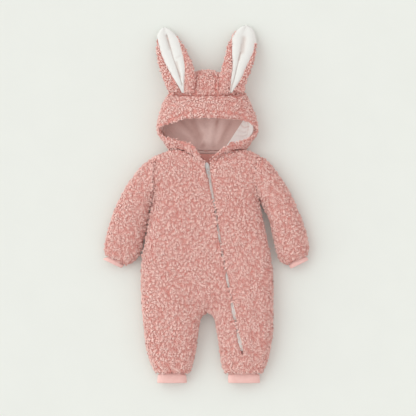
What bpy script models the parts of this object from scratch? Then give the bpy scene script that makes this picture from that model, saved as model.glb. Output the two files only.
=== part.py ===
"""Baby romper in teddy fleece, hooded, with rabbit ears, laid out on its back.

One frame for every piece, in metres: the floor is z = 0, the feet point to -Y, the
hood to +Y and the front faces +Z.  The wearer's right side is at -X.  Sizes below
are in millimetres.  The cloth is built as walls round an empty body, with the neck,
the cuffs and the face opening left open.
"""
import math
from collections import namedtuple

import bmesh
import bpy
import numpy as np

# ---------------------------------------------------------------- sizes, mm
MM = 0.001
SEAM = 0.4            # gap between two pieces along a seam
FLEECE = 8.0          # knitted backing and curled pile together
HEM_FLEECE = 4.6      # the same cloth pulled thin where it is gathered on a cuff
ZIP_EDGE = 5.5        # the same cloth trimmed along the zip
KNIT = 2.4            # folded smooth knit of the cuffs
LINING = 1.5
FACING = 1.3
TAPE = 1.0
SIDE_SEAM_Z = 26.0    # height of the side seam above the floor
HEM_SEAM_Z = 18.0     # the same at the leg hems
HEM_Y = -408.0
SEAM_DROP_Y = -330.0  # the side seam starts to come down here
ROLL = 34.0           # how far in from the outline the cloth has turned flat
HEM_ROLL = 20.0       # the same at the gathered hems of the legs
CROWN = 4.0           # the middle stands this much higher than the turned edge
CROTCH_Y = -262.4
YOKE_Y = -100.0       # above this the rows of a front bend to the neckline

# ---------------------------------------------------------------- tables, mm
Body = namedtuple("Body", "y left right top")
BODY = [
    Body(120, -117.5, 123.0, 50), Body(95, -122.5, 119.0, 54), Body(67, -128.0, 116.5, 56),
    Body(40, -127.5, 119.0, 57), Body(20, -127.2, 122.5, 57), Body(0, -130.5, 127.0, 57),
    Body(-20, -134.5, 132.5, 56), Body(-45, -139.0, 139.0, 55), Body(-75, -144.0, 145.0, 54),
    Body(-105, -149.5, 151.5, 54), Body(-140, -156.5, 158.0, 54), Body(-185, -158.0, 161.5, 54),
    Body(-235, -156.0, 162.0, 53), Body(-285, -152.0, 161.0, 51), Body(-325, -148.0, 158.5, 49),
    Body(-360, -141.5, 153.0, 46), Body(-385, -134.5, 146.5, 43), Body(-400, -128.0, 140.0, 39),
    Body(-408, -122.0, 134.0, 36), Body(-430, -120.0, 133.0, 35),
]
Inseam = namedtuple("Inseam", "y left right")
INSEAM = [
    Inseam(-262.4, 3.2, 3.7), Inseam(-265.6, -5.4, 12.6), Inseam(-271.6, -11.2, 17.6),
    Inseam(-281, -15.0, 21.0), Inseam(-303, -18.0, 24.0), Inseam(-327, -20.5, 28.5),
    Inseam(-351, -24.0, 32.0), Inseam(-375, -29.0, 34.5), Inseam(-394, -34.0, 37.0),
    Inseam(-402, -37.5, 41.0), Inseam(-408, -42.0, 46.5), Inseam(-430, -44.0, 49.0),
]
Zip = namedtuple("Zip", "y x gap")
ZIP = [
    Zip(104, 0.0, 10.5), Zip(99, 0.8, 10.5), Zip(81, 4.2, 10.5), Zip(71, 6.2, 9.5),
    Zip(61, 7.8, 6.0), Zip(50, 9.4, 4.4), Zip(9, 17.4, 4.0), Zip(-40, 26.0, 2.4),
    Zip(-63, 28.7, 1.6), Zip(-84, 32.0, 6.0), Zip(-110, 36.4, 1.6), Zip(-150, 44.5, 1.6),
    Zip(-178, 49.8, 5.0), Zip(-206, 55.8, 1.6), Zip(-228, 59.4, 1.8), Zip(-257, 65.2, 10.0),
    Zip(-286, 70.2, 3.0), Zip(-303, 73.8, 4.4), Zip(-330, 80.0, 9.0), Zip(-346, 84.5, 8.0),
    Zip(-356, 87.0, 1.4), Zip(-364, 88.0, 0.8), Zip(-408, 83.5, 0.8), Zip(-430, 83.0, 0.8),
]
Neck = namedtuple("Neck", "x y")
NECK = [
    Neck(-119, 117.0), Neck(-111, 120.0), Neck(-101, 124.7), Neck(-92, 128.5), Neck(-82, 130.4),
    Neck(-72, 130.2), Neck(-60, 127.8), Neck(-48, 123.0), Neck(-36, 116.3), Neck(-24, 108.4),
    Neck(-12.6, 100.4), Neck(-4.5, 95.5), Neck(6.5, 95.0), Neck(18.6, 102.4), Neck(30.6, 110.3),
    Neck(42.6, 116.8), Neck(54.6, 122.0), Neck(66.6, 126.0), Neck(78.6, 129.2),
    Neck(88.2, 131.0), Neck(98, 131.0), Neck(105, 128.3), Neck(114.6, 123.5), Neck(124.2, 117.2),
]
SHOULDER = {"left": (-118.0, 117.4), "right": (123.2, 117.6)}
NOTCH = {"left": (-92.0, 128.5), "right": (98.0, 131.0)}
ARMPIT_Y = {"left": 23.6, "right": 18.8}
BACK_NECK_Y = 128.5

Fold = namedtuple("Fold", "x0 y0 x1 y1 depth width")
FOLDS = [
    Fold(-52, 88, -17, 81, 3.0, 7),
    Fold(-116, -8, -70, -22, 2.0, 12),
    Fold(112, -14, 72, -30, 2.0, 12),
    Fold(3, -262, -34, -236, 4.0, 14),
    Fold(3, -262, 44, -240, 4.0, 14),
    Fold(-108, -384, -104, -352, 2.5, 7),
    Fold(-78, -386, -78, -356, 3.0, 7),
    Fold(-56, -384, -62, -358, 2.5, 7),
    Fold(58, -384, 62, -362, 2.5, 7),
    Fold(116, -384, 110, -352, 3.0, 7),
]

Sleeve = namedtuple("Sleeve", "outer_x outer_y inner_x inner_y top")
SLEEVES = {
    "right": [
        Sleeve(-130.2, 112.4, -129.6, 16.0, 57), Sleeve(-144.6, 101.9, -131.6, 6.0, 55),
        Sleeve(-160.0, 88.9, -134.0, -5.0, 54), Sleeve(-174.8, 69.7, -137.2, -16.5, 53),
        Sleeve(-191.9, 46.2, -140.2, -30.5, 52), Sleeve(-207.0, 20.3, -143.2, -46.0, 51),
        Sleeve(-220.0, -7.6, -146.4, -62.5, 50), Sleeve(-230.5, -35.4, -149.8, -79.0, 48),
        Sleeve(-239.2, -63.2, -153.4, -96.0, 46), Sleeve(-244.4, -84.6, -157.0, -112.0, 44),
        Sleeve(-248.0, -106.0, -163.4, -128.6, 41), Sleeve(-247.1, -115.6, -173.2, -141.6, 38),
        Sleeve(-243.5, -123.2, -191.4, -148.6, 35),
    ],
    "left": [
        Sleeve(138.1, 113.6, 128.4, 9.6, 57), Sleeve(150.8, 102.8, 134.0, 1.0, 55),
        Sleeve(166.0, 84.6, 140.0, -9.6, 54), Sleeve(180.8, 63.2, 145.3, -22.6, 53),
        Sleeve(196.0, 39.7, 149.6, -36.8, 52), Sleeve(208.7, 16.2, 153.5, -51.0, 51),
        Sleeve(221.6, -11.9, 157.3, -67.8, 50), Sleeve(232.2, -37.6, 161.0, -84.8, 48),
        Sleeve(240.8, -63.2, 164.6, -101.6, 46), Sleeve(247.3, -86.8, 168.4, -118.4, 44),
        Sleeve(250.0, -106.0, 174.0, -135.0, 41), Sleeve(248.5, -114.4, 181.8, -143.0, 38),
        Sleeve(244.7, -122.3, 194.0, -147.4, 35),
    ],
}
Cuff = namedtuple("Cuff", "ax ay bx by low high")
CUFFS = {
    "sleeve_right": [
        Cuff(-231.7, -122.8, -194.7, -140.4, 5.8, 26.0), Cuff(-236.6, -127.8, -199.6, -145.4, 5.8, 26.0),
        Cuff(-242.3, -128.2, -198.1, -149.2, 4.4, 28.4), Cuff(-249.8, -133.2, -204.6, -154.8, 3.8, 28.0),
    ],
    "sleeve_left": [
        Cuff(234.8, -120.5, 198.0, -138.7, 6.1, 26.3), Cuff(238.2, -126.6, 201.4, -144.8, 6.1, 26.3),
        Cuff(243.3, -127.4, 199.3, -149.2, 4.4, 28.4), Cuff(247.4, -134.8, 203.4, -156.6, 3.8, 28.0),
    ],
    "leg_right": [
        Cuff(-112.0, -399.0, -52.0, -399.0, 5.7, 25.9), Cuff(-112.0, -409.2, -52.0, -409.2, 5.7, 25.9),
        Cuff(-117.6, -412.6, -47.2, -412.6, 4.4, 28.6), Cuff(-119.2, -431.6, -45.8, -431.6, 3.8, 28.4),
    ],
    "leg_left": [
        Cuff(56.4, -399.0, 124.0, -399.0, 5.7, 25.9), Cuff(56.4, -409.2, 124.0, -409.2, 5.7, 25.9),
        Cuff(51.8, -412.6, 129.4, -412.6, 4.4, 28.6), Cuff(52.0, -431.6, 130.8, -431.6, 3.8, 28.4),
    ],
}

# A row per station round the face opening, from the zip's right side over the head
# to its left side.  rim: edge of the opening; seam: where the hood front is sewn on;
# out: the hood's outline; puff and bump: how far the cloth stands up between them.
Hood = namedtuple("Hood", "rim_x rim_y rim_z seam_x seam_y seam_z puff turn out_x out_y bump roll")
HOOD = [
    Hood(-2.5, 104.8, 52, -3.9, 96.2, 0, 2, 0.0, -3.9, 96.2, 0, 26),
    Hood(-13.8, 114.4, 56, -21.0, 107.1, 0, 3, 0.0, -21.0, 107.1, 0, 26),
    Hood(-20.8, 128.0, 60, -37.8, 118.2, 0, 5, 0.0, -37.8, 118.2, 0, 26),
    Hood(-28.7, 141.2, 61, -53.4, 126.2, 0, 7, 0.0, -53.4, 126.2, 0, 26),
    Hood(-46.2, 149.4, 59, -70.2, 130.9, 0, 8, 0.0, -70.2, 130.9, 0, 26),
    Hood(-67.8, 155.2, 55, -83.4, 131.4, 0, 8, 0.1, -83.4, 131.4, 0, 26),
    Hood(-89.0, 159.9, 51, -93.4, 133.4, 27, 6, 0.5, -93.4, 133.4, 0, 26),
    Hood(-105.0, 164.0, 47, -102.4, 148.4, 28, 3, 0.8, -102.4, 148.4, 0, 26),
    Hood(-113.0, 173.4, 45, -117.2, 167.2, 29, 0, 1.0, -117.2, 167.2, 0, 26),
    Hood(-114.0, 182.0, 46, -119.4, 182.5, 29, 0, 1.0, -119.4, 182.5, 0, 26),
    Hood(-99.5, 186.5, 55, -117.7, 198.8, 29, 1, 1.0, -117.7, 198.8, 0, 26),
    Hood(-81.0, 191.6, 65, -112.9, 219.2, 28, 2, 1.0, -112.9, 219.2, 0, 26),
    Hood(-59.9, 199.6, 74, -103.8, 245.6, 27, 4, 0.9, -103.8, 245.6, 0, 26),
    Hood(-36.6, 202.4, 80, -88.0, 264.0, 33, 8, 0.6, -87.0, 276.0, 1, 26),
    Hood(-16.2, 203.6, 83, -48.0, 261.0, 56, 7, 0.3, -50.0, 309.0, 3, 26),
    Hood(3.0, 204.4, 84, 1.0, 259.0, 62, 6, 0.2, 1.0, 327.5, 7, 27),
    Hood(23.4, 203.6, 83, 50.0, 261.0, 56, 7, 0.3, 52.0, 309.5, 3, 26),
    Hood(45.0, 201.2, 80, 91.0, 265.0, 33, 8, 0.6, 89.0, 277.0, 1, 26),
    Hood(69.0, 200.0, 74, 105.0, 246.4, 27, 4, 0.9, 105.0, 246.4, 0, 28),
    Hood(91.8, 196.7, 65, 116.0, 224.0, 28, 2, 1.0, 116.0, 224.0, 0, 34),
    Hood(110.0, 190.0, 55, 121.8, 203.0, 29, 1, 1.0, 121.8, 203.0, 0, 42),
    Hood(122.0, 182.0, 46, 125.2, 186.0, 29, 0, 1.0, 125.2, 186.0, 0, 46),
    Hood(121.5, 173.4, 45, 124.0, 170.0, 29, 0, 1.0, 124.0, 170.0, 0, 44),
    Hood(111.5, 163.5, 47, 113.2, 153.7, 29, 3, 0.8, 113.2, 153.7, 0, 36),
    Hood(94.2, 156.1, 51, 100.0, 135.4, 27, 6, 0.5, 100.0, 135.4, 0, 28),
    Hood(75.0, 149.9, 55, 87.0, 132.0, 0, 8, 0.1, 87.0, 132.0, 0, 26),
    Hood(55.8, 142.2, 59, 71.4, 128.9, 0, 8, 0.0, 71.4, 128.9, 0, 26),
    Hood(37.8, 134.5, 61, 53.4, 122.7, 0, 7, 0.0, 53.4, 122.7, 0, 26),
    Hood(25.3, 123.0, 60, 35.4, 114.3, 0, 5, 0.0, 35.4, 114.3, 0, 26),
    Hood(14.8, 112.9, 56, 21.0, 105.2, 0, 3, 0.0, 21.0, 105.2, 0, 26),
    Hood(6.1, 104.8, 52, 8.6, 96.9, 0, 2, 0.0, 8.6, 96.9, 0, 26),
]
DENT_END = 0.91              # the dents fade out before the hood front's seam
OUT_Z = 27.0                 # height of the hood's outline above the floor
BACK_FROM, BACK_TO = 6.5, 23.5      # stations where the hood's back begins and ends
BACK_NECK_X = (-90.5, 96.5)
CROWN_POINTS, FLOOR_POINTS = 24, 11     # points worked out along the crown and the floor
FULL_CROWN = 8.0             # a crown wider than this starts at the seam's height
LONGEST_ROLL = 0.8           # share of the way to the neck that the outline's roll may take
NECK_TAPE_X = (-52.0, 58.0)
NECK_TAPE_FROM, NECK_TAPE_TO = 7.5, 0.5     # below the back neck seam
LINING_EASE = 1.2            # the lining hangs this far clear of the fleece
LINING_ROW = 3               # the brim hem hides the lining up to this row of the hood
LINING_STATIONS = slice(4, 33, 2)
FACING_ROWS = slice(3, 18)
FACING_STATIONS = {"right": slice(4, 9, 2), "left": slice(24, 33, 2)}
DENTS = [
    Fold(-66, 138, -50, 131, 7.0, 6), Fold(66, 138, 80, 134, 7.0, 6),
    Fold(-72, 222, -92, 214, 2.5, 9), Fold(80, 226, 98, 214, 2.5, 9),
]

# A row per section of an ear, from the seam to the tip.
Ear = namedtuple("Ear", "y left right white_left white_right crease low thick tilt")
EARS = {
    "right": [
        Ear(266.4, -89.5, -30.5, -58.4, -53.0, -55.4, 54.4, 7, 0.20),
        Ear(282.8, -99.0, -26.5, -66.6, -52.9, -57.5, 54.9, 11, 0.18),
        Ear(297.2, -103.8, -24.8, -76.7, -52.2, -61.1, 52.5, 12, 0.16),
        Ear(314.0, -109.1, -26.0, -86.5, -51.0, -66.4, 47.0, 12, 0.13),
        Ear(330.8, -115.1, -30.4, -95.2, -51.0, -72.1, 40.0, 12, 0.10),
        Ear(350.0, -119.2, -37.6, -104.3, -55.1, -78.8, 31.5, 12, 0.07),
        Ear(369.2, -120.6, -46.2, -111.0, -59.4, -84.1, 24.0, 12, 0.04),
        Ear(388.4, -120.8, -57.5, -115.0, -64.4, -89.9, 16.5, 12, 0.02),
        Ear(402.8, -120.1, -67.3, -118.0, -69.4, -95.2, 11.5, 11, 0.0),
        Ear(414.8, -115.8, -80.0, -113.8, -82.0, -98.3, 8.5, 10, 0.0),
        Ear(422.0, -110.3, -88.5, -108.5, -90.3, -99.4, 7.0, 9, 0.0),
        Ear(426.8, -105.0, -95.0, -103.4, -96.6, -100.0, 6.0, 8, 0.0),
    ],
    "left": [
        Ear(266.6, 31.0, 91.0, 56.4, 61.8, 59.2, 54.8, 7, -0.20),
        Ear(282.8, 27.5, 93.7, 57.7, 72.8, 62.5, 55.3, 11, -0.18),
        Ear(297.2, 29.4, 99.7, 59.2, 83.2, 66.6, 52.9, 12, -0.16),
        Ear(314.0, 33.0, 106.2, 61.3, 91.1, 70.9, 47.3, 12, -0.13),
        Ear(330.8, 38.5, 112.9, 63.7, 96.1, 75.0, 40.2, 12, -0.10),
        Ear(350.0, 43.3, 118.7, 62.8, 107.2, 79.6, 31.5, 12, -0.07),
        Ear(369.2, 47.4, 122.8, 62.0, 114.8, 84.6, 24.0, 12, -0.04),
        Ear(388.4, 51.5, 121.6, 62.8, 116.8, 89.4, 16.5, 12, -0.02),
        Ear(402.8, 59.4, 119.9, 61.5, 117.8, 93.0, 11.5, 11, 0.0),
        Ear(414.8, 69.0, 116.8, 71.0, 114.8, 95.4, 8.5, 10, 0.0),
        Ear(424.0, 78.0, 111.6, 79.8, 109.8, 96.6, 7.0, 9, 0.0),
        Ear(431.6, 91.5, 101.6, 93.0, 100.2, 96.7, 6.0, 8, 0.0),
    ],
}
LIP = 1.0                    # the plush stands this far clear of the fleece round it
LIP_RUN = 0.2                # the fleece drops to the bed over this
BED = 0.5                    # share of the ear's thickness that lies under the plush
EAR_EDGE = 12.0              # the ear's edge is rounded over this width
LEAST_PLUSH = 1.2            # width of the plush at the ear's tip
TIP_BACK = 2.0               # the plush ends this far before the tip
PLUSH_RISE = 0.55            # share of the ear's thickness that the plush rises
PLUSH_SECTION = ((0.0, 0.55), (0.12, 0.95), (0.3, 1.0), (0.5, 1.0), (0.7, 1.0),
                 (0.88, 0.95), (1.0, 0.55))
CREASE_DEPTH, CREASE_WIDTH, CREASE_FULL = 3.0, 5.0, 20.0

SLIDER_Y = 91.6
SLIDER = {"width": 8.8, "length": 14.0, "plate": 1.6, "post": 2.2}
BRIDGE = {"width": 2.4, "length": 10.0, "bar": 1.4, "rise": 3.4}
PULL = {"length": 24.5, "tab": 6.0, "thick": 1.3, "ring": 4.3, "hole": 2.3, "play": 0.5,
        "swing": 1.0, "slot": 1.4, "slot_from": 1.6, "slot_to": 4.2}
PULL_RADIUS = 0.6            # round bar of the pull, held under the bridge

COLOURS = {
    "teddy_fleece": ((0.78, 0.50, 0.45), 0.95, 0.0),
    "smooth_knit": ((0.86, 0.60, 0.56), 0.85, 0.0),
    "hood_lining": ((0.50, 0.34, 0.32), 0.80, 0.0),
    "cream_facing": ((0.76, 0.68, 0.64), 0.85, 0.0),
    "white_plush": ((0.88, 0.88, 0.84), 0.95, 0.0),
    "zip_tape": ((0.78, 0.75, 0.70), 0.80, 0.0),
    "zip_metal": ((0.80, 0.78, 0.74), 0.45, 0.3),
}


# ---------------------------------------------------------------- helpers
def smooth(xs, ys):
    """A curve through the given points that never overshoots between two of them."""
    xs, ys = np.asarray(xs, float), np.asarray(ys, float)
    order = np.argsort(xs)
    xs, ys = xs[order], ys[order]
    step, rise = np.diff(xs), np.diff(ys)
    slope = rise / step
    tangent = np.zeros_like(xs)
    tangent[0], tangent[-1] = slope[0], slope[-1]
    for i in range(1, len(xs) - 1):
        if slope[i - 1] * slope[i] > 0:
            tangent[i] = 2 * slope[i - 1] * slope[i] / (slope[i - 1] + slope[i])

    def at(x):
        x = np.clip(np.asarray(x, float), xs[0], xs[-1])
        i = np.clip(np.searchsorted(xs, x) - 1, 0, len(xs) - 2)
        t = (x - xs[i]) / step[i]
        a = (1 + 2 * t) * (1 - t) ** 2 * ys[i] + t * (1 - t) ** 2 * step[i] * tangent[i]
        b = t * t * (3 - 2 * t) * ys[i + 1] + t * t * (t - 1) * step[i] * tangent[i + 1]
        return a + b
    return at


def columns(table, key):
    """One smooth curve for every column of a table, against the column `key`."""
    keys = [getattr(row, key) for row in table]
    return {name: smooth(keys, [getattr(row, name) for row in table])
            for name in table[0]._fields if name != key}


def blend(a, b, t):
    return a + (b - a) * t


def smoothstep(t):
    t = np.clip(t, 0.0, 1.0)
    return t * t * (3 - 2 * t)


def segment_distance(x, y, x0, y0, x1, y1):
    dx, dy = x1 - x0, y1 - y0
    t = np.clip(((x - x0) * dx + (y - y0) * dy) / (dx * dx + dy * dy), 0, 1)
    return np.hypot(x - x0 - t * dx, y - y0 - t * dy)


def creases(x, y, table):
    """Depth of all the folds of a table at (x, y)."""
    total = 0.0
    for f in table:
        total = total + f.depth * np.exp(-(segment_distance(x, y, *f[:4]) / f.width) ** 2)
    return total


def spread(a, b, pins_a, pins_b, middle):
    """Positions from a to b: at pins_a from a, `middle` even ones, at pins_b from b."""
    width = b - a
    scale = min(1.0, 0.92 * width / (pins_a[-1] + pins_b[-1]))
    start = [a + p * scale for p in pins_a]
    end = [b - p * scale for p in pins_b][::-1]
    inner = np.linspace(start[-1], end[0], middle + 2)[1:-1]
    return np.array(start + list(inner) + end)


def material(name):
    found = bpy.data.materials.get(name)
    if found:
        return found
    made = bpy.data.materials.new(name)
    made.use_nodes = True
    colour, roughness, metallic = COLOURS[name]
    shader = made.node_tree.nodes["Principled BSDF"]
    shader.inputs["Base Color"].default_value = (*colour, 1.0)
    shader.inputs["Roughness"].default_value = roughness
    shader.inputs["Metallic"].default_value = metallic
    return made


def add_object(name, bm, slot, origin=(0.0, 0.0, 0.0)):
    """Turn a bmesh in millimetres into a named object whose origin is `origin` (mm)."""
    bmesh.ops.recalc_face_normals(bm, faces=bm.faces)
    for vert in bm.verts:
        vert.co = [(vert.co[k] - origin[k]) * MM for k in range(3)]
    mesh = bpy.data.meshes.new(name)
    bm.to_mesh(mesh)
    bm.free()
    mesh.materials.append(material(slot))
    for face in mesh.polygons:
        face.use_smooth = True
    mesh.set_sharp_from_angle(angle=math.radians(50))
    obj = bpy.data.objects.new(name, mesh)
    obj.location = [c * MM for c in origin]
    bpy.context.scene.collection.objects.link(obj)
    return obj


def wall(name, outer, inner, slot, ring=False, missing=()):
    """A closed wall between two grids of points (rows, columns, xyz).

    ring: the last column is joined to the first.  missing: cells left out, as
    (row, column) of their first corner."""
    rows, cols = outer.shape[:2]
    bm = bmesh.new()
    skins = [[[bm.verts.new(p) for p in row] for row in grid] for grid in (outer, inner)]
    span = cols if ring else cols - 1
    cells = {(r, c) for r in range(rows - 1) for c in range(span)} - set(missing)
    for r, c in cells:
        n = (c + 1) % cols
        for k, skin in enumerate(skins):
            loop = [skin[r][c], skin[r][n], skin[r + 1][n], skin[r + 1][c]]
            bm.faces.new(loop if k else loop[::-1])
    for r, c in cells:
        n, before, after = (c + 1) % cols, (c - 1) % span, (c + 1) % span
        sides = [((r - 1, c), (r, c), (r, n)), ((r + 1, c), (r + 1, n), (r + 1, c))]
        sides.append(((r, before) if ring or c else None, (r + 1, c), (r, c)))
        sides.append(((r, after) if ring or c < span - 1 else None, (r, n), (r + 1, n)))
        for neighbour, a, b in sides:
            if neighbour not in cells:
                bm.faces.new([skins[0][a[0]][a[1]], skins[0][b[0]][b[1]],
                              skins[1][b[0]][b[1]], skins[1][a[0]][a[1]]])
    loose = [v for v in bm.verts if not v.link_faces]
    bmesh.ops.delete(bm, geom=loose, context="VERTS")
    return add_object(name, bm, slot)


def grid_normals(grid):
    """Unit normals of a grid of points, facing the same way as row x column."""
    across = np.gradient(grid, axis=1)
    along = np.gradient(grid, axis=0)
    normal = np.cross(across, along)
    return normal / np.linalg.norm(normal, axis=2, keepdims=True)


# ---------------------------------------------------------------- the body's form
body = columns(BODY, "y")
inseam = columns(INSEAM, "y")
zip_line = columns(ZIP, "y")
neckline = smooth([n.x for n in NECK], [n.y for n in NECK])


def side_points(name, low, high):
    ys = np.linspace(low, high, 60)
    return list(zip(body[name](ys), ys))


def sewn_edges():
    """The outline along which the front and the back are sewn together."""
    legs = [(r.left, r.y) for r in reversed(INSEAM)] + [(r.right, r.y) for r in INSEAM]
    return [
        side_points("left", -430.0, ARMPIT_Y["left"]),
        side_points("right", -430.0, ARMPIT_Y["right"]),
        [SHOULDER["left"], (-101.0, 124.7), NOTCH["left"]],
        [SHOULDER["right"], (114.6, 123.5), NOTCH["right"]],
        legs,
    ]


EDGES = sewn_edges()
FAR = 600.0


def inside_region():
    """The same outline carried far past the neck, the sleeves and the hems."""
    left, right, shoulder_l, shoulder_r, legs = EDGES
    return ([(left[0][0], -FAR)] + left + [(-FAR, left[-1][1]), (-FAR, shoulder_l[0][1])]
            + shoulder_l + [(shoulder_l[-1][0], FAR), (shoulder_r[-1][0], FAR)]
            + shoulder_r[::-1] + [(FAR, shoulder_r[0][1]), (FAR, right[-1][1])] + right[::-1]
            + [(right[0][0], -FAR), (legs[-1][0], -FAR)] + legs[::-1] + [(legs[0][0], -FAR)])


REGION = inside_region()


def edge_distance(x, y):
    """Distance from (x, y) to the sewn outline, negative outside the garment."""
    x, y = np.asarray(x, float), np.asarray(y, float)
    best = np.full(x.shape, FAR)
    for line in EDGES:
        for a, b in zip(line, line[1:]):
            best = np.minimum(best, segment_distance(x, y, a[0], a[1], b[0], b[1]))
    inside = np.zeros(x.shape, bool)
    for (x0, y0), (x1, y1) in zip(REGION, REGION[1:] + REGION[:1]):
        if y0 != y1:
            crosses = ((y0 > y) != (y1 > y)) & (x < x0 + (x1 - x0) * (y - y0) / (y1 - y0))
            inside ^= crosses
    return np.where(inside, best, -best)


def seam_height(y):
    drop = smoothstep((SEAM_DROP_Y - y) / (SEAM_DROP_Y - HEM_Y))
    return blend(SIDE_SEAM_Z, HEM_SEAM_Z, drop)


def cloth_thickness(y):
    drop = smoothstep((HEM_Y + 26.0 - y) / 22.0)
    return blend(FLEECE, HEM_FLEECE, drop)


def skin(x, y, upper, thick):
    """Outer and inner point of the cloth at (x, y) on the upper or lower side."""
    step = 0.5
    roll = blend(ROLL, HEM_ROLL, smoothstep((HEM_Y + 48.0 - y) / 48.0))
    d = edge_distance(x, y)
    gx = edge_distance(x + step, y) - edge_distance(x - step, y)
    gy = edge_distance(x, y + step) - edge_distance(x, y - step)
    length = np.maximum(np.hypot(gx, gy), 1e-6)
    cos = 1 - np.clip(d / roll, 0.0, 1.0)
    sin = np.sqrt(1 - cos * cos)
    seam = seam_height(y)
    rise = body["top"](y) - seam if upper else seam
    out = cos / roll
    up = sin / rise
    size = np.hypot(out, up)
    nx, ny = -gx / length * out / size, -gy / length * out / size
    nz = up / size if upper else -up / size
    if upper:
        z = seam + SEAM / 2 + rise * sin
        z = z + CROWN * smoothstep((d - roll * 0.6) / 50) - sin * upper_detail(x, y)
    else:
        z = seam - SEAM / 2 - (rise - SEAM / 2) * sin
    outer = np.stack([x, y, z], axis=-1)
    inner = outer - np.stack([nx, ny, nz], axis=-1) * thick[..., None]
    return outer, inner


def upper_detail(x, y):
    """Valleys of the front: the folds, the armhole and neck seams, the zip."""
    depth = creases(x, y, FOLDS)
    for side in ("left", "right"):
        above = smoothstep((y - ARMPIT_Y[side]) / 20)
        depth = depth + 4.0 * above * np.exp(-((x - body[side](y)) / 8) ** 2)
    beside_zip = smoothstep((np.abs(x - zip_line["x"](y)) - 10) / 30)
    depth = depth + 3.0 * beside_zip * np.exp(-((y - neckline(x)) / 8) ** 2)
    return depth + 1.5 * np.exp(-(np.abs(x - zip_line["x"](y)) / 8) ** 2)


# ---------------------------------------------------------------- fronts and back
EDGE_PINS = (0.0, 1.5, 6.0, 14.0, 26.0)
ZIP_PINS = (0.0, 3.0, 11.0)
LEG_MIDDLE = 2
LEG_ROWS = (HEM_Y, -403, -394, -380, -363, -343, -320, -297, -279, -267.5, CROTCH_Y)
BODY_ROWS = (-255, -241, -220, -192, -162, -131, YOKE_Y)
YOKE_ROWS = (0.14, 0.28, 0.42, 0.57, 0.64, 0.72, 0.8, 0.87, 0.92, 0.962, 0.988, 1.0)
CROTCH_BLEND = 90.0          # above the crotch the columns spread out over this length


def zip_side(y, side):
    return float(zip_line["x"](y)) + side * float(zip_line["gap"](y)) / 2


def right_front_x(y):
    """Columns of the right front: the right leg, then the inside of the left leg."""
    low = min(y, CROTCH_Y)
    leg = spread(float(body["left"](y)), float(inseam["left"](low)), EDGE_PINS, EDGE_PINS,
                 LEG_MIDDLE)
    rest = spread(float(inseam["right"](low)), zip_side(y, -1), EDGE_PINS, ZIP_PINS, 0)
    legs = np.concatenate([leg, rest])
    whole = spread(float(body["left"](y)), zip_side(y, -1), EDGE_PINS, ZIP_PINS, len(legs) - 8)
    return blend(legs, whole, smoothstep((y - CROTCH_Y) / CROTCH_BLEND))


def left_front_x(y):
    return spread(zip_side(y, 1), float(body["right"](y)), ZIP_PINS, EDGE_PINS, 3)


def front_grid(column_x):
    """Plan positions of a front, rows from the hem to the neckline."""
    count = len(column_x(0.0))
    tops = np.full(count, 110.0)
    for _ in range(6):
        tops = np.array([float(neckline(column_x(tops[c])[c])) for c in range(count)])
    rows = [np.full(count, y) for y in LEG_ROWS + BODY_ROWS]
    rows += [YOKE_Y + (tops - YOKE_Y) * g for g in YOKE_ROWS]
    ys = np.array(rows)
    xs = np.array([[column_x(row[c])[c] for c in range(count)] for row in ys])
    return xs, ys


def front(name, column_x, missing=()):
    xs, ys = front_grid(column_x)
    near_zip = np.exp(-(np.abs(xs - zip_line["x"](ys)) / 20) ** 4)
    thick = blend(cloth_thickness(ys), np.minimum(cloth_thickness(ys), ZIP_EDGE), near_zip)
    outer, inner = skin(xs, ys, True, thick)
    return wall(name, outer, inner, "teddy_fleece", missing=missing)


def fronts():
    leg_columns = 2 * len(EDGE_PINS) + LEG_MIDDLE
    crotch_row = LEG_ROWS.index(CROTCH_Y)
    front("front_right", right_front_x, [(r, leg_columns - 1) for r in range(crotch_row)])
    front("front_left", left_front_x)


BACK_PINS = (0.0, 3.0, 12.0, 27.0)
BACK_ROWS = (HEM_Y, -396, -378, -346, -305, -277, -267, CROTCH_Y, -250, -220, -160, -90, -30,
             5.0, 23.6, 38, 56, 76, 94, 106)
BACK_TOP = (0.6, 0.88, 1.0)


def back_x(y):
    low = min(y, CROTCH_Y)
    left = spread(float(body["left"](y)), float(inseam["left"](low)), BACK_PINS, BACK_PINS, 1)
    right = spread(float(inseam["right"](low)), float(body["right"](y)), BACK_PINS, BACK_PINS, 1)
    legs = np.concatenate([left, right])
    whole = spread(float(body["left"](y)), float(body["right"](y)), BACK_PINS, BACK_PINS,
                   len(legs) - 2 * len(BACK_PINS))
    return blend(legs, whole, smoothstep((y - CROTCH_Y) / CROTCH_BLEND))


def back_top(x):
    if NOTCH["left"][0] < x < NOTCH["right"][0]:
        return BACK_NECK_Y
    return min(float(neckline(x)), BACK_NECK_Y)


def back():
    count = len(back_x(0.0))
    tops = np.array([back_top(back_x(118.0)[c]) for c in range(count)])
    rows = [np.full(count, y) for y in BACK_ROWS]
    rows += [BACK_ROWS[-1] + (tops - BACK_ROWS[-1]) * g for g in BACK_TOP]
    ys = np.array(rows)
    xs = np.array([[back_x(min(row[c], 118.0))[c] for c in range(count)] for row in ys])
    outer, inner = skin(xs, ys, False, cloth_thickness(ys))
    leg_columns = 2 * len(BACK_PINS) + 1
    crotch_row = BACK_ROWS.index(CROTCH_Y)
    wall("back", outer, inner, "teddy_fleece",
         missing=[(r, leg_columns - 1) for r in range(crotch_row)])


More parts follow.
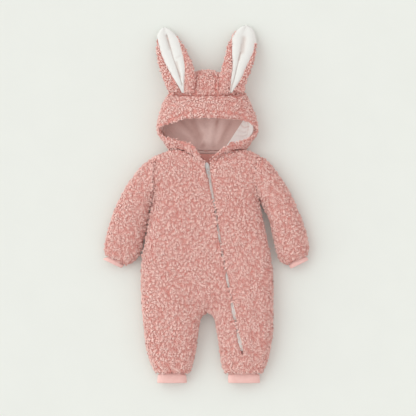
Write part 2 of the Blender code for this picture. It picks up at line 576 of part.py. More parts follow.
# ---------------------------------------------------------------- sleeves and cuffs
def ring_section(a, b, low, high, seam, thick, turns, roll):
    """A flattened ring of cloth between the plan points a and b: outer and inner loop."""
    a, b = np.array(a, float), np.array(b, float)
    width = np.linalg.norm(b - a)
    along = (b - a) / width
    half = turns // 2
    loops = []
    for inset in (0.0, thick):
        reach = width / 2 - inset
        bend = min(roll, width / 2) - inset
        loop = []
        for k in range(turns):
            angle = math.pi * k / half
            across = -reach * math.cos(angle)
            near = min((reach - abs(across)) / bend, 1.0)
            lift = math.sqrt(1 - (1 - near) ** 2)
            plan = (a + b) / 2 + along * across
            top = seam + (high - inset - seam) * lift
            bottom = seam - (seam - low - inset) * lift
            loop.append((plan[0], plan[1], top if k < half else bottom))
        loops.append(loop)
    return loops


SLEEVE_TURNS = 20
SLEEVE_ROLL = 36.0


def armhole(side, name):
    """The sleeve's first ring, on the armhole of the body and clear of it by a seam."""
    half = SLEEVE_TURNS // 2
    ys, xs, uppers = [], [], []
    low, high = ARMPIT_Y[name], SHOULDER[name][1]
    for k in range(SLEEVE_TURNS):
        f = 0.5 * (1 - math.cos(math.pi * k / half)) if k < half else \
            0.5 * (1 + math.cos(math.pi * (k - half) / half))
        y = blend(high, low, f)
        ys.append(y)
        xs.append(float(body[name](y)))
        uppers.append(k < half)
    xs, ys, uppers = np.array(xs), np.array(ys), np.array(uppers)
    thick = np.full(len(xs), FLEECE)
    top_outer, top_inner = skin(xs, ys, True, thick)
    low_outer, low_inner = skin(xs, ys, False, thick)
    outer = np.where(uppers[:, None], top_outer, low_outer)
    inner = np.where(uppers[:, None], top_inner, low_inner)
    for ring in (outer, inner):
        ring[:, 0] = body[name](ring[:, 1]) + side * 2 * SEAM
    return outer, inner


def sleeve(name, side, body_side):
    table = SLEEVES[name]
    outer, inner = [], []
    first, second = armhole(side, body_side)
    outer.append(first)
    inner.append(second)
    for i, row in enumerate(table):
        t = i / (len(table) - 1)
        thick = blend(FLEECE, HEM_FLEECE, smoothstep((t - 0.75) / 0.25))
        seam = blend(SIDE_SEAM_Z, HEM_SEAM_Z, smoothstep(t))
        loops = ring_section((row.outer_x, row.outer_y), (row.inner_x, row.inner_y),
                             0.0, row.top, seam, thick, SLEEVE_TURNS, SLEEVE_ROLL)
        outer.append(np.array(loops[0]))
        inner.append(np.array(loops[1]))
    wall("sleeve_" + name, np.array(outer), np.array(inner), "teddy_fleece", ring=True)


CUFF_TURNS = 18
CUFF_ROLL = 18.0


def cuff(name, table):
    outer, inner = [], []
    for row in table:
        seam = (row.low + row.high) / 2
        loops = ring_section((row.ax, row.ay), (row.bx, row.by), row.low, row.high,
                             seam, KNIT, CUFF_TURNS, CUFF_ROLL)
        outer.append(loops[0])
        inner.append(loops[1])
    wall("cuff_" + name, np.array(outer), np.array(inner), "smooth_knit", ring=True)


# ---------------------------------------------------------------- hood
STATION_STEP = 0.5
station_ids = np.arange(len(HOOD))
hood = {name: smooth(station_ids, [getattr(row, name) for row in HOOD]) for name in Hood._fields}


def heights(xs, ys, upper):
    """Height of the outer face of the body's cloth over many points at once."""
    xs, ys = np.broadcast_arrays(np.asarray(xs, float), np.asarray(ys, float))
    outer, _ = skin(xs, ys, upper, np.full(xs.shape, FLEECE))
    return outer[..., 2]


on_neck = heights([r.seam_x for r in HOOD], [r.seam_y - 1.0 for r in HOOD], True)
hood["seam_z"] = smooth(station_ids, [row.seam_z or on_neck[i] for i, row in enumerate(HOOD)])
neck_xs = np.linspace(*BACK_NECK_X, 60)
back_neck_z = smooth(neck_xs, heights(neck_xs, BACK_NECK_Y, False))


def hood_front_point(s, t):
    """Outer face of the hood front: t = 0 on the rim of the opening, 1 on its seam."""
    h = {name: float(curve(s)) for name, curve in hood.items()}
    plan = blend(t, math.sin(math.pi * t / 2), h["turn"])
    fall = blend(t, 1 - math.cos(math.pi * t / 2), h["turn"])
    x = blend(h["rim_x"], h["seam_x"], plan)
    y = blend(h["rim_y"], h["seam_y"], plan)
    z = blend(h["rim_z"], h["seam_z"], fall) + h["puff"] * math.sin(math.pi * t)
    if 0 < t < DENT_END:
        z -= float(creases(x, y, DENTS)) * math.sqrt(math.sin(math.pi * t / DENT_END))
    return x, y, z


def hood_back_curve(s):
    """Dense outer curve of the hood back: seam, crown, outline, floor, back of the neck."""
    h = {name: float(curve(s)) for name, curve in hood.items()}
    f = (s - BACK_FROM) / (BACK_TO - BACK_FROM)
    neck_x = blend(BACK_NECK_X[0], BACK_NECK_X[1], f)
    neck_y = BACK_NECK_Y + 2 * SEAM
    neck_z = float(back_neck_z(neck_x))
    points = []
    crown = math.hypot(h["out_x"] - h["seam_x"], h["out_y"] - h["seam_y"])
    out_z = OUT_Z if crown > 1.0 else h["seam_z"] - SEAM
    if crown > 1.0:
        for a in np.linspace(0, math.pi / 2, CROWN_POINTS, endpoint=False):
            x = blend(h["seam_x"], h["out_x"], math.sin(a))
            y = blend(h["seam_y"], h["out_y"], math.sin(a))
            start = blend(out_z, h["seam_z"], min(1.0, crown / FULL_CROWN))
            points.append((x, y, out_z + (start - out_z) * math.cos(a) + h["bump"] * math.sin(2 * a)))
    reach = math.hypot(neck_x - h["out_x"], neck_y - h["out_y"])
    roll = min(h["roll"], LONGEST_ROLL * reach)
    ux, uy = (neck_x - h["out_x"]) / reach, (neck_y - h["out_y"]) / reach
    turn = [(roll * (1 - math.cos(b)), out_z * (1 - math.sin(b)))
            for b in np.linspace(0, math.pi / 2, CROWN_POINTS + 1)]
    turn += [(d, 0.0) for d in np.linspace(roll, reach, FLOOR_POINTS + 1)[1:]]
    for d, z in turn:
        points.append((h["out_x"] + ux * d, h["out_y"] + uy * d, z + neck_z * (d / reach) ** 2))
    return np.array(points), len(points) - FLOOR_POINTS


def resample(points, bend, rows, flat_rows):
    """Even points along the bent part of a curve, then even ones on its flat part."""
    result = []
    for part, count in ((points[:bend], rows), (points[bend - 1:], flat_rows + 1)):
        length = np.concatenate([[0], np.cumsum(np.linalg.norm(np.diff(part, axis=0), axis=1))])
        start = 0.0
        if not result:
            start = SEAM / length[-1]
        want = np.linspace(start, 1, count) * length[-1]
        line = [np.interp(want, length, part[:, k]) for k in range(3)]
        result += list(np.stack(line, axis=1))[(1 if result else 0):]
    return np.array(result)


FRONT_TS = (0.0, 0.08, 0.22, 0.42, 0.64, 0.84, 0.985)
BACK_BEND_ROWS = 8
BACK_FLAT_ROWS = 3


def hood_grids():
    """Outer face and unit normals of the hood's front and back, which share a seam."""
    stations = np.arange(0, len(HOOD) - 1 + STATION_STEP / 2, STATION_STEP)
    first = int(round(BACK_FROM / STATION_STEP))
    last = int(round(BACK_TO / STATION_STEP)) + 1
    over = np.array([[hood_front_point(s, t) for s in stations] for t in FRONT_TS])
    under = np.array([resample(*hood_back_curve(s), BACK_BEND_ROWS, BACK_FLAT_ROWS)
                      for s in stations[first:last]]).transpose(1, 0, 2)
    over_normal = grid_normals(over)
    whole = grid_normals(np.concatenate([over[:, first:last], under]))
    rows = len(FRONT_TS)
    shared = whole[rows - 1] + whole[rows]
    shared /= np.linalg.norm(shared, axis=1, keepdims=True)
    whole[rows - 1] = whole[rows] = shared
    over_normal[:, first:last] = whole[:rows]
    return over, over_normal, under, whole[rows:], first


def hood_pieces():
    over, over_normal, under, under_normal, first = hood_grids()
    wall("hood_front", over, over - FLEECE * over_normal, "teddy_fleece")
    wall("hood_back", under, under - FLEECE * under_normal, "teddy_fleece")
    count = under.shape[1]
    face = np.concatenate([over[:, first:first + count], under])
    normal = np.concatenate([over_normal[:, first:first + count], under_normal])

    def layer(name, slot, rows, stations, depth, thick):
        part, facing = face[rows, stations], normal[rows, stations]
        wall(name, part - depth * facing, part - (depth + thick) * facing, slot)

    depth = FLEECE + LINING_EASE
    layer("hood_lining", "hood_lining", slice(LINING_ROW, None), LINING_STATIONS, depth, LINING)
    depth += LINING + 2 * SEAM
    for name, stations in FACING_STATIONS.items():
        layer("hood_facing_" + name, "cream_facing", FACING_ROWS, stations, depth, FACING)


def neck_tape():
    rows = (BACK_NECK_Y - NECK_TAPE_FROM, BACK_NECK_Y - NECK_TAPE_TO)
    low = np.array([[(x, y, FLEECE + SEAM) for x in np.linspace(*NECK_TAPE_X, 8)] for y in rows])
    wall("neck_tape", low + np.array([0, 0, TAPE]), low, "zip_tape")


# ---------------------------------------------------------------- ears
def ear(name):
    outer_rows, under_rows, plush_top, plush_low = [], [], [], []
    for row in EARS[name]:
        left, right = row.white_left, row.white_right
        centre = (row.left + row.right) / 2

        def floor(x):
            return row.low + row.tilt * (x - centre)

        def rounded(x):
            edge = min(x - row.left, row.right - x) / EAR_EDGE
            return math.sqrt(1 - (1 - min(max(edge, 0.0), 1.0)) ** 2)

        rim_left = [blend(row.left, left, f) for f in (0.0, 0.25, 0.6)] + [left - LIP_RUN]
        rim_right = [right + LIP_RUN] + [blend(right, row.right, f) for f in (0.4, 0.75, 1.0)]
        bed = [left + LIP * 0.6, blend(left, right, 0.3), blend(left, right, 0.7),
               right - LIP * 0.6]
        outer_rows.append([(x, row.y, floor(x) + row.thick * (0.6 + 0.4 * rounded(x)))
                           for x in rim_left]
                          + [(x, row.y, floor(x) + row.thick * BED) for x in bed]
                          + [(x, row.y, floor(x) + row.thick * (0.6 + 0.4 * rounded(x)))
                             for x in rim_right])
        under_rows.append([(x, row.y, floor(x) + row.thick * 0.45 * (1 - rounded(x)))
                           for x in rim_left + bed + rim_right])
        tip = row is EARS[name][-1]
        width = max(right - left - 2 * (LIP + SEAM), LEAST_PLUSH)
        start = (left + right - width) / 2
        y = row.y - (TIP_BACK if tip else 0.0)
        lift = row.thick * BED + (2.5 if tip else 1.0) * SEAM
        valley = CREASE_DEPTH * min(1, width / CREASE_FULL)
        for share, full in PLUSH_SECTION:
            x = start + width * share
            dip = valley * math.exp(-((x - row.crease) / CREASE_WIDTH) ** 2)
            plush_low.append((x, y, floor(x) + lift))
            plush_top.append((x, y, floor(x) + lift + row.thick * PLUSH_RISE * full - dip))
    shape = (len(EARS[name]), len(PLUSH_SECTION), 3)
    wall("ear_back_" + name, np.array(outer_rows), np.array(under_rows), "teddy_fleece")
    wall("ear_plush_" + name, np.array(plush_top).reshape(shape),
         np.array(plush_low).reshape(shape), "white_plush")


# ---------------------------------------------------------------- zip
TAPE_TOP_Y, TAPE_END_Y = 94.4, -353.0
TAPE_HALF = 10.5
TAPE_DROP = 6.8              # the tape's top face under the face of the fleece
TAPE_LEVEL_Y = (44.0, 68.0)  # the tape turns level between these, under the slider
SLIDER_SPLIT = 1.7           # the tapes part by this much each side round the slider's post


def zip_z(x, y):
    """Height of the tape's top face."""
    x, y = np.broadcast_arrays(np.asarray(x, float), np.asarray(y, float))
    level = heights(zip_line["x"](TAPE_TOP_Y), TAPE_TOP_Y, True)
    t = smoothstep((y - TAPE_LEVEL_Y[0]) / (TAPE_LEVEL_Y[1] - TAPE_LEVEL_Y[0]))
    return blend(heights(x, y, True), level, t) - TAPE_DROP


def zip_tapes():
    xs, ys = front_grid(left_front_x)
    inside = [y for y in ys[:, 0] if TAPE_END_Y < y < TAPE_TOP_Y - 3]
    rows = np.array([TAPE_END_Y] + inside + [TAPE_TOP_Y])
    split = blend(SEAM, SLIDER_SPLIT, smoothstep((rows - (SLIDER_Y - 16)) / 8))
    for name, side in (("right", -1), ("left", 1)):
        reach = np.stack([split, split * 0 + 4, split * 0 + 7, split * 0 + TAPE_HALF], axis=1)
        y = np.repeat(rows[:, None], reach.shape[1], axis=1)
        x = zip_line["x"](y) + side * reach
        z = zip_z(x, y)
        wall("zip_tape_" + name, np.stack([x, y, z], axis=2),
             np.stack([x, y, z - TAPE], axis=2), "zip_tape")


def box_points(x0, x1, y0, y1):
    return [(x0, y0), (x1, y0), (x1, y1), (x0, y1)]


def place(bm, centre, angle):
    """Turn a piece made round the origin by `angle` about Z and move it to `centre`."""
    c, s = math.cos(angle), math.sin(angle)
    for v in bm.verts:
        x, y, z = v.co
        v.co = (centre[0] + c * x - s * y, centre[1] + s * x + c * y, centre[2] + z)


def slider_frame():
    y = SLIDER_Y
    slope = (float(zip_line["x"](y - 8)) - float(zip_line["x"](y + 8))) / 16
    x = float(zip_line["x"](y))
    return (x, y, float(zip_z(x, y))), math.atan(slope)


HINGE_Y = 4.4                # the pull's round bar, from the slider's middle
HINGE_Z = 3.2                # its height above the tape


def prism(outline, low, high):
    """A closed plate with straight sides standing on an outline."""
    bm = bmesh.new()
    rings = [[bm.verts.new((x, y, z)) for x, y in outline] for z in (low, high)]
    count = len(outline)
    for i in range(count):
        j = (i + 1) % count
        bm.faces.new([rings[0][i], rings[0][j], rings[1][j], rings[1][i]])
    bm.faces.new(rings[0][::-1])
    bm.faces.new(rings[1])
    return bm


def combine(name, slot, centre, angle, added, cut=(), origin=(0.0, 0.0, 0.0)):
    """One solid from prisms: the added ones united, then the cut ones taken away."""
    base = None
    for index, (outline, low, high) in enumerate((*added, *cut)):
        bm = prism(outline, low, high)
        place(bm, centre, angle)
        block = add_object(name if base is None else name + "_block", bm, slot, origin)
        if base is None:
            base = block
            continue
        modifier = base.modifiers.new("boolean", "BOOLEAN")
        modifier.operation = "UNION" if index < len(added) else "DIFFERENCE"
        modifier.solver, modifier.object = "EXACT", block
        depsgraph = bpy.context.evaluated_depsgraph_get()
        mesh = bpy.data.meshes.new_from_object(base.evaluated_get(depsgraph))
        base.modifiers.clear()
        base.data = mesh
        bpy.data.objects.remove(block, do_unlink=True)
    return base


def zip_slider():
    """Two plates with a post between them, and a bridge that holds the pull's bar."""
    centre, angle = slider_frame()
    half, long = SLIDER["width"] / 2, SLIDER["length"] / 2
    base = SEAM + SLIDER["plate"]
    under = -TAPE - SEAM
    width, arch = BRIDGE["width"] / 2, BRIDGE["length"] / 2
    post = SLIDER["post"] / 2
    shape = [(-half, -long + 3), (-half + 1.6, -long), (half - 1.6, -long), (half, -long + 3),
             (half, long - 4), (half - 2, long), (-half + 2, long), (-half, long - 4)]
    top, bar, sunk = base + BRIDGE["rise"], BRIDGE["bar"], 0.2
    front_post = arch + 1.0
    combine("zip_slider", "zip_metal", centre, angle, [
        (shape, SEAM, base),
        (shape, under - SLIDER["plate"], under),
        (box_points(-post, post, 0.5, long - 1.5), under - sunk, SEAM + sunk),
        (box_points(-width, width, -arch, -arch + bar), base - sunk, top + bar),
        (box_points(-width, width, front_post, front_post + bar), base - sunk, top + bar),
        (box_points(-width, width, -arch + sunk, front_post + bar - sunk), top, top + bar),
    ])


def circle(cx, cy, radius, count=20):
    return [(cx + radius * math.cos(2 * math.pi * k / count),
             cy + radius * math.sin(2 * math.pi * k / count)) for k in range(count)]


def zip_pull():
    """A flat tab with a window round the bridge, a slot, and a ring at its end."""
    centre, angle = slider_frame()
    low, high = HINGE_Z - PULL["thick"] / 2, HINGE_Z + PULL["thick"] / 2
    half = PULL["tab"] / 2
    inner = BRIDGE["width"] / 2 + PULL["play"]
    end = HINGE_Y - PULL["length"] + PULL["ring"]
    under = -BRIDGE["length"] / 2 - PULL["swing"]
    slot, slot_top, slot_end = PULL["slot"], under - PULL["slot_from"], under - PULL["slot_to"]
    c, s = math.cos(angle), math.sin(angle)
    hinge = (centre[0] - s * HINGE_Y, centre[1] + c * HINGE_Y, centre[2] + HINGE_Z)
    combine("zip_pull", "zip_metal", centre, angle, [
        (box_points(-half, half, end + 1.0, HINGE_Y + PULL_RADIUS), low, high),
        (circle(0.0, end, PULL["ring"], 24), low, high),
    ], [
        (box_points(-inner, inner, under, HINGE_Y - PULL_RADIUS), low - 1, high + 1),
        (box_points(-slot, slot, slot_end, slot_top), low - 1, high + 1),
        (circle(0.0, end, PULL["hole"], 16), low - 1, high + 1),
    ], origin=hinge)


# ---------------------------------------------------------------- build
def build():
    for obj in list(bpy.data.objects):
        bpy.data.objects.remove(obj, do_unlink=True)
    fronts()
    back()
    sleeve("right", -1, "left")
    sleeve("left", 1, "right")
    for name, table in CUFFS.items():
        cuff(name, table)
    hood_pieces()
    neck_tape()
    ear("right")
    ear("left")
    zip_tapes()
    zip_slider()
    zip_pull()


build()
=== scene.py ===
# %% [markdown]
# # A baby romper in teddy fleece
# The romper lies on its back on a pale table: a hooded body with long sleeves and legs, knitted
# cuffs, a slanting zip and two rabbit ears. The sewn solids come in as a fixed frame, and each
# cell below dresses one of them. All lengths are in metres, so MM turns millimetres into metres.

import math
from collections import namedtuple

import bmesh
import bpy
import numpy as np
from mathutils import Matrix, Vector
from mathutils.bvhtree import BVHTree
from mathutils.kdtree import KDTree


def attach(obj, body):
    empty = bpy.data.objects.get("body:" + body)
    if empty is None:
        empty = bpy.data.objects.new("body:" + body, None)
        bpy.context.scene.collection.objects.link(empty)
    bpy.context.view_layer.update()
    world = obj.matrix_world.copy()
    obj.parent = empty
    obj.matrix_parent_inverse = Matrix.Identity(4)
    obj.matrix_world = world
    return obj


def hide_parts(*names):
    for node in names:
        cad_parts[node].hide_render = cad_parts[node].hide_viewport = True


MM = 0.001
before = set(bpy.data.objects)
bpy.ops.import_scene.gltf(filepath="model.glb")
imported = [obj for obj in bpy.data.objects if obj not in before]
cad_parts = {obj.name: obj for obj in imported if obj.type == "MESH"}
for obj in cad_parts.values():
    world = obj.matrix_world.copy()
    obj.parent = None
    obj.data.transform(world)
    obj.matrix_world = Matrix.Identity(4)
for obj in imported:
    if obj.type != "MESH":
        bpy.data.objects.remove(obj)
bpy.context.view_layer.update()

# %% [markdown]
# ## Camera
# The picture is taken from straight above. A long lens far away keeps the ears, which stand
# higher than the cuffs, from growing in the view. The lens length follows from the width of
# the table that the picture shows and the camera's height.

# %% Camera
VIEW_WIDTH = 998.4 * MM
VIEW_CENTRE = Vector((4.2 * MM, -9.96 * MM, 40 * MM))
CAMERA_HEIGHT = 4.0
SENSOR = 36.0

camera_data = bpy.data.cameras.new("camera")
camera_data.sensor_width = SENSOR
camera_data.lens = SENSOR * CAMERA_HEIGHT / VIEW_WIDTH
camera = bpy.data.objects.new("camera", camera_data)
camera.location = VIEW_CENTRE + Vector((0, 0, CAMERA_HEIGHT))
bpy.context.collection.objects.link(camera)
bpy.context.scene.camera = camera
print("lens mm", round(camera_data.lens, 1))

# %% [markdown]
# ## Room
# The white room fills the shadows with even light. In Blender the world does this: it shines from
# all sides in one pale colour. The plain Standard view keeps the colours as they are set.

# %% Room
ROOM_COLOUR = (1.0, 0.955, 0.95, 1)
ROOM_STRENGTH = 0.86

world = bpy.data.worlds.new("room")
world.use_nodes = True
background = world.node_tree.nodes["Background"]
background.inputs["Color"].default_value = ROOM_COLOUR
background.inputs["Strength"].default_value = ROOM_STRENGTH
bpy.context.scene.world = world
bpy.context.scene.view_settings.view_transform = "Standard"
print("room strength", ROOM_STRENGTH)

# %% [markdown]
# ## Window and wall
# A wide studio window to the left gives soft shadows to the right of the romper. An area lamp
# would be brighter on its own side of the table, so a sun lamp with a very wide disc stands for
# the window: its light is as strong everywhere, and its shadows are sharp near the cloth and fade
# out further away. A weak low sun without shadows is the light that the white wall throws back.

# %% Window and wall
WINDOW_FROM = Vector((-1.0, 0.35, 0.58))
WINDOW_WIDTH = math.radians(75)
WINDOW_STRENGTH = 1.24
WINDOW_COLOUR = (0.84, 1.0, 0.99)
WALL_FROM = Vector((-0.75, 0.85, 0.22))
WALL_WIDTH = math.radians(40)
WALL_STRENGTH = 0.45


def add_sun(name, place, strength, width):
    """A sun lamp that shines from a place towards the middle of the table."""
    lamp = bpy.data.lights.new(name, "SUN")
    lamp.energy, lamp.angle = strength, width
    holder = bpy.data.objects.new(name, lamp)
    holder.location = place
    holder.rotation_euler = place.to_track_quat("Z", "Y").to_euler()
    bpy.context.collection.objects.link(holder)
    return lamp


add_sun("window", WINDOW_FROM, WINDOW_STRENGTH, WINDOW_WIDTH).color = WINDOW_COLOUR
add_sun("white_wall", WALL_FROM, WALL_STRENGTH, WALL_WIDTH).use_shadow = False
print("window strength", WINDOW_STRENGTH, "wall strength", WALL_STRENGTH)

# %% [markdown]
# ## Shader maths
# A shader is a sum written with boxes and wires. It reads more easily as a Python expression, so
# a small class wraps a socket and turns +, - and * into Math nodes, also where the number stands
# first, as in 1 - mask. Colours go through Mix nodes, because a Math node would turn them grey.

# %% Shader maths


class Wire:
    """A shader socket that can be added, subtracted and multiplied."""

    def __init__(self, shader, socket):
        self.shader, self.socket = shader, socket

    def maths(self, operation, *values):
        return self.shader.node("ShaderNodeMath", {"operation": operation}, dict(enumerate(values)))

    def __add__(self, other):
        return self.maths("ADD", self, other)

    def __radd__(self, other):
        return self.maths("ADD", other, self)

    def __sub__(self, other):
        return self.maths("SUBTRACT", self, other)

    def __rsub__(self, other):
        return self.maths("SUBTRACT", other, self)

    def __mul__(self, other):
        return self.maths("MULTIPLY", self, other)

    def __rmul__(self, other):
        return self.maths("MULTIPLY", other, self)


print("operators", [name.strip("_") for name in vars(Wire) if name.startswith("__r") and name != "__repr__"])

# %% [markdown]
# ## Finishes and their nodes
# A finish is a material in the making. One method adds any node, whatever its type, and the
# others give short names to what the cloths need: noise for a nap, cells for loops, a ramp of
# colours, and bump for a relief too small to model. A bump costs no faces and bakes to a map.

# %% Finishes and their nodes


class Finish:
    """A material in the making. Its numbers that are the same all over go straight on the shader."""

    def __init__(self, name, **values):
        self.material = bpy.data.materials.new(name)
        self.material.use_nodes = True
        self.tree = self.material.node_tree
        self.shader = self.tree.nodes["Principled BSDF"]
        for socket, value in values.items():
            self.shader.inputs[socket.replace("_", " ")].default_value = value

    def node(self, kind, settings=None, inputs=None, output=0):
        """Adds a node: its settings come first, then the values or wires of its sockets."""
        made = self.tree.nodes.new(kind)
        for key, value in (settings or {}).items():
            if key == "stops":
                ramp = made.color_ramp.elements
                while len(ramp) < len(value):
                    ramp.new(0.5)
                for element, (place, colour) in zip(ramp, value):
                    element.position, element.color = place, (*colour, 1)
            else:
                setattr(made, key, value)
        for key, value in (inputs or {}).items():
            self.join(value, made.inputs[key])
        return Wire(self, made.outputs[output])

    def join(self, value, socket):
        if isinstance(value, Wire):
            self.tree.links.new(value.socket, socket)
        elif isinstance(value, tuple) and len(value) == 3 and len(socket.default_value) == 4:
            socket.default_value = (*value, 1)
        else:
            socket.default_value = value

    def mix(self, share, low, high):
        """A colour between low and high."""
        return self.node("ShaderNodeMix", {"data_type": "RGBA"}, {0: share, 6: low, 7: high}, 2)

    def place(self):
        """Where a point of the surface is, in metres."""
        return self.node("ShaderNodeTexCoord", output="Object")

    def attribute(self, name):
        return self.node("ShaderNodeAttribute", {"attribute_name": name}, output="Fac")

    def noise(self, size, detail=2):
        """Soft noise from 0 to 1 whose lumps are about size metres across."""
        inputs = {"Vector": self.place(), "Scale": 1 / size, "Detail": detail, "Roughness": 0.5}
        return self.node("ShaderNodeTexNoise", None, inputs, "Fac")

    def cells(self, size):
        """The distance to the nearest of many scattered points, about size metres apart."""
        inputs = {"Vector": self.place(), "Scale": 1 / size}
        return self.node("ShaderNodeTexVoronoi", {"feature": "F1"}, inputs, "Distance")

    def ramp(self, value, *stops):
        return self.node("ShaderNodeValToRGB", {"stops": stops}, {"Fac": value}, "Color")

    def colour(self, wire):
        self.join(wire, self.shader.inputs["Base Color"])

    def rough(self, wire):
        self.join(wire, self.shader.inputs["Roughness"])

    def bump(self, height, depth):
        """Raises the surface by height (0 to 1) times depth metres."""
        inputs = {"Height": height, "Distance": depth, "Strength": 1.0}
        self.join(self.node("ShaderNodeBump", None, inputs), self.shader.inputs["Normal"])


print("finish methods", [name for name in vars(Finish) if not name.startswith("_")])

# %% [markdown]
# ## Screen colours
# Colours are easiest to name as a screen shows them, from 0 to 255. The shader counts light
# itself, and a screen's numbers grow faster than the light they stand for, so a curve turns one
# into the other.

# %% Screen colours


def linear(red, green, blue):
    """A colour read from a screen (0 to 255) as the shader's linear light."""
    share = np.array([red, green, blue]) / 255
    curve = ((share + 0.055) / 1.055) ** 2.4
    return tuple(float(v) for v in np.where(share <= 0.04045, share / 12.92, curve))


print("pale pink in linear light", [round(v, 3) for v in linear(244, 205, 198)])

# %% [markdown]
# ## Table
# The romper lies on a plain white sheet. A slightly uneven surface keeps it from looking drawn.

# %% Table
FLOOR_HALF = 6.0
FLOOR_DROP = 0.3 * MM  # just below the cloth, so that the two faces don't flicker
FLOOR_GRAIN = 90 * MM
FLOOR_TOOTH = 4 * MM

floor_finish = Finish("table_white", Roughness=0.85)
grain = floor_finish.noise(FLOOR_GRAIN, 3)
floor_finish.colour(floor_finish.mix(grain, linear(229, 232, 226), linear(233, 236, 230)))
floor_finish.bump(floor_finish.noise(FLOOR_TOOTH), 0.05 * MM)

floor_mesh = bpy.data.meshes.new("table")
corners = [(x * FLOOR_HALF, y * FLOOR_HALF, -FLOOR_DROP) for x, y in ((-1, -1), (1, -1), (1, 1), (-1, 1))]
floor_mesh.from_pydata(corners, [], [(0, 1, 2, 3)])
floor_mesh.materials.append(floor_finish.material)
floor = bpy.data.objects.new("table", floor_mesh)
bpy.context.collection.objects.link(floor)
print("table", 2 * FLOOR_HALF, "m wide")

# %% [markdown]
# ## Fleece colours
# Teddy fleece is a knitted base with a curly pile. Its colour holds painted light and shade: the curls' tips
# are painted nearly white pink, a painted highlight where they catch the light, while towards the gaps
# between them the colour goes down to a warm red, a painted shade of the light that has passed through many
# dyed threads there. Each curl carries two numbers: its tone, partly chance and partly painted shade, and the
# height along it, and both the colour and the map for baking come from them.

# %% Fleece colours
# painted light and shade: a painted highlight at the tips and a painted shade at the roots of the curls
PINK_TIP_PAINTED_LIGHT = linear(252, 221, 212)
PINK_MIDDLE = linear(247, 203, 193)
PINK_ROOT_PAINTED_SHADE = linear(230, 168, 157)
# the deep red is mixed in by a value that is partly chance and partly painted shade
PINK_DEEP_TONE_AND_SHADE = linear(214, 118, 106)
DEEP_SHARE = 0.85
SHEEN_TINT = (1, 0.82, 0.78, 1)

pile_finish = Finish("teddy_pile", Roughness=0.95, Sheen_Weight=0.6, Sheen_Roughness=0.5,
                     Sheen_Tint=SHEEN_TINT)
tone = pile_finish.attribute("tone")
height = pile_finish.attribute("height")
# painted shade at the root and painted highlight at the tip, along the height of each curl
shade = pile_finish.ramp(height, (0.0, PINK_ROOT_PAINTED_SHADE), (0.45, PINK_MIDDLE), (1.0, PINK_TIP_PAINTED_LIGHT))
# mixes in the deep red: partly chance, partly painted shade at clump edges and in creases
pile_finish.colour(pile_finish.mix(tone * DEEP_SHARE, shade, PINK_DEEP_TONE_AND_SHADE))
pile_finish.rough(0.98 - 0.1 * height)
print("pile from", [round(v, 2) for v in PINK_ROOT_PAINTED_SHADE], "to", [round(v, 2) for v in PINK_TIP_PAINTED_LIGHT])

# %% [markdown]
# ## Fleece back
# Between the curls the knitted back of the fleece shows. Its loops are small round cells, a little deeper in
# colour than the pile, and a bump raises each of them. The cells also darken the colour where the bump is
# low, a painted shade.

# %% Fleece back
PINK_GROUND = linear(236, 168, 157)
PINK_LOOP = linear(246, 184, 173)
LOOP_SIZE = 2.2 * MM

ground_finish = Finish("teddy_ground", Roughness=0.95, Sheen_Weight=0.2)
loops = ground_finish.cells(LOOP_SIZE)
# painted shade: the colour is darker where the loops' bump is low
ground_finish.colour(ground_finish.mix(loops, PINK_GROUND, PINK_LOOP))
ground_finish.bump(loops, 0.8 * MM)
ground_finish.rough(0.9 + 0.08 * loops)
print("loops", round(LOOP_SIZE / MM, 1), "mm")

# %% [markdown]
# ## Cuff knit
# The cuffs are a fine knit with ribs that run along the arm or leg. A wave texture gives the ribs, and noise
# keeps them from looking printed. The same numbers go to colour and to bump, so that the valleys between the
# ribs also carry a painted shade.

# %% Cuff knit
RIB_WAVE = {"Scale": 1 / (6.5 * MM), "Distortion": 1.4, "Detail Scale": 2}
KNIT_SHADE = linear(232, 176, 168)
KNIT_PALE = linear(252, 214, 206)

knit_finish = Finish("cuff_knit", Roughness=0.9, Sheen_Weight=0.3)
ribs = knit_finish.node("ShaderNodeTexWave", {"wave_profile": "SIN"},
                        {"Vector": knit_finish.place(), **RIB_WAVE}, "Fac")
# half painted shade in the rib valleys, half random mottling
rib_shade_and_mottle = ribs * 0.5 + 0.5 * knit_finish.noise(9 * MM)
knit_finish.colour(knit_finish.mix(rib_shade_and_mottle, KNIT_SHADE, KNIT_PALE))
knit_finish.bump(ribs + 0.4 * knit_finish.noise(1.2 * MM), 0.35 * MM)
knit_finish.rough(0.85 + 0.1 * ribs)
print("knit", knit_finish.material.name)

# %% [markdown]
# ## Brushed cloths
# The hood's lining is a soft brushed knit, the facings at the corners of the face opening are a paler one,
# and the ears' inner faces are white plush with a short nap. They differ in colour, in the size of the nap
# and in its depth, so one helper makes all three. Each cloth carries a number called shade, which is high in
# its creases and mixes in the darker colour as painted shade, and a negative one makes a ridge paler, a
# painted highlight. The lining's base shade darkens all of it towards its dark colour, a painted shade of the
# inside of the hood.

# %% Brushed cloths
Brushed = namedtuple("Brushed", "sheen nap_size nap_shade base_shade thread nap_rise depth rough soft")


def brushed(name, cloth, pale, dark):
    """A finish with a nap: pale on the open cloth, dark in its creases."""
    finish = Finish(name, Roughness=cloth.rough, Sheen_Weight=cloth.sheen)
    nap = finish.noise(cloth.nap_size * MM, 4)
    shaded = finish.attribute("shade")
    if cloth.base_shade:
        shaded = shaded + cloth.base_shade
    finish.colour(finish.mix(shaded + cloth.nap_shade * nap, pale, dark))
    finish.bump(finish.noise(cloth.thread * MM, 3) + cloth.nap_rise * nap, cloth.depth * MM)
    finish.rough(cloth.soft[0] + cloth.soft[1] * nap)
    return finish


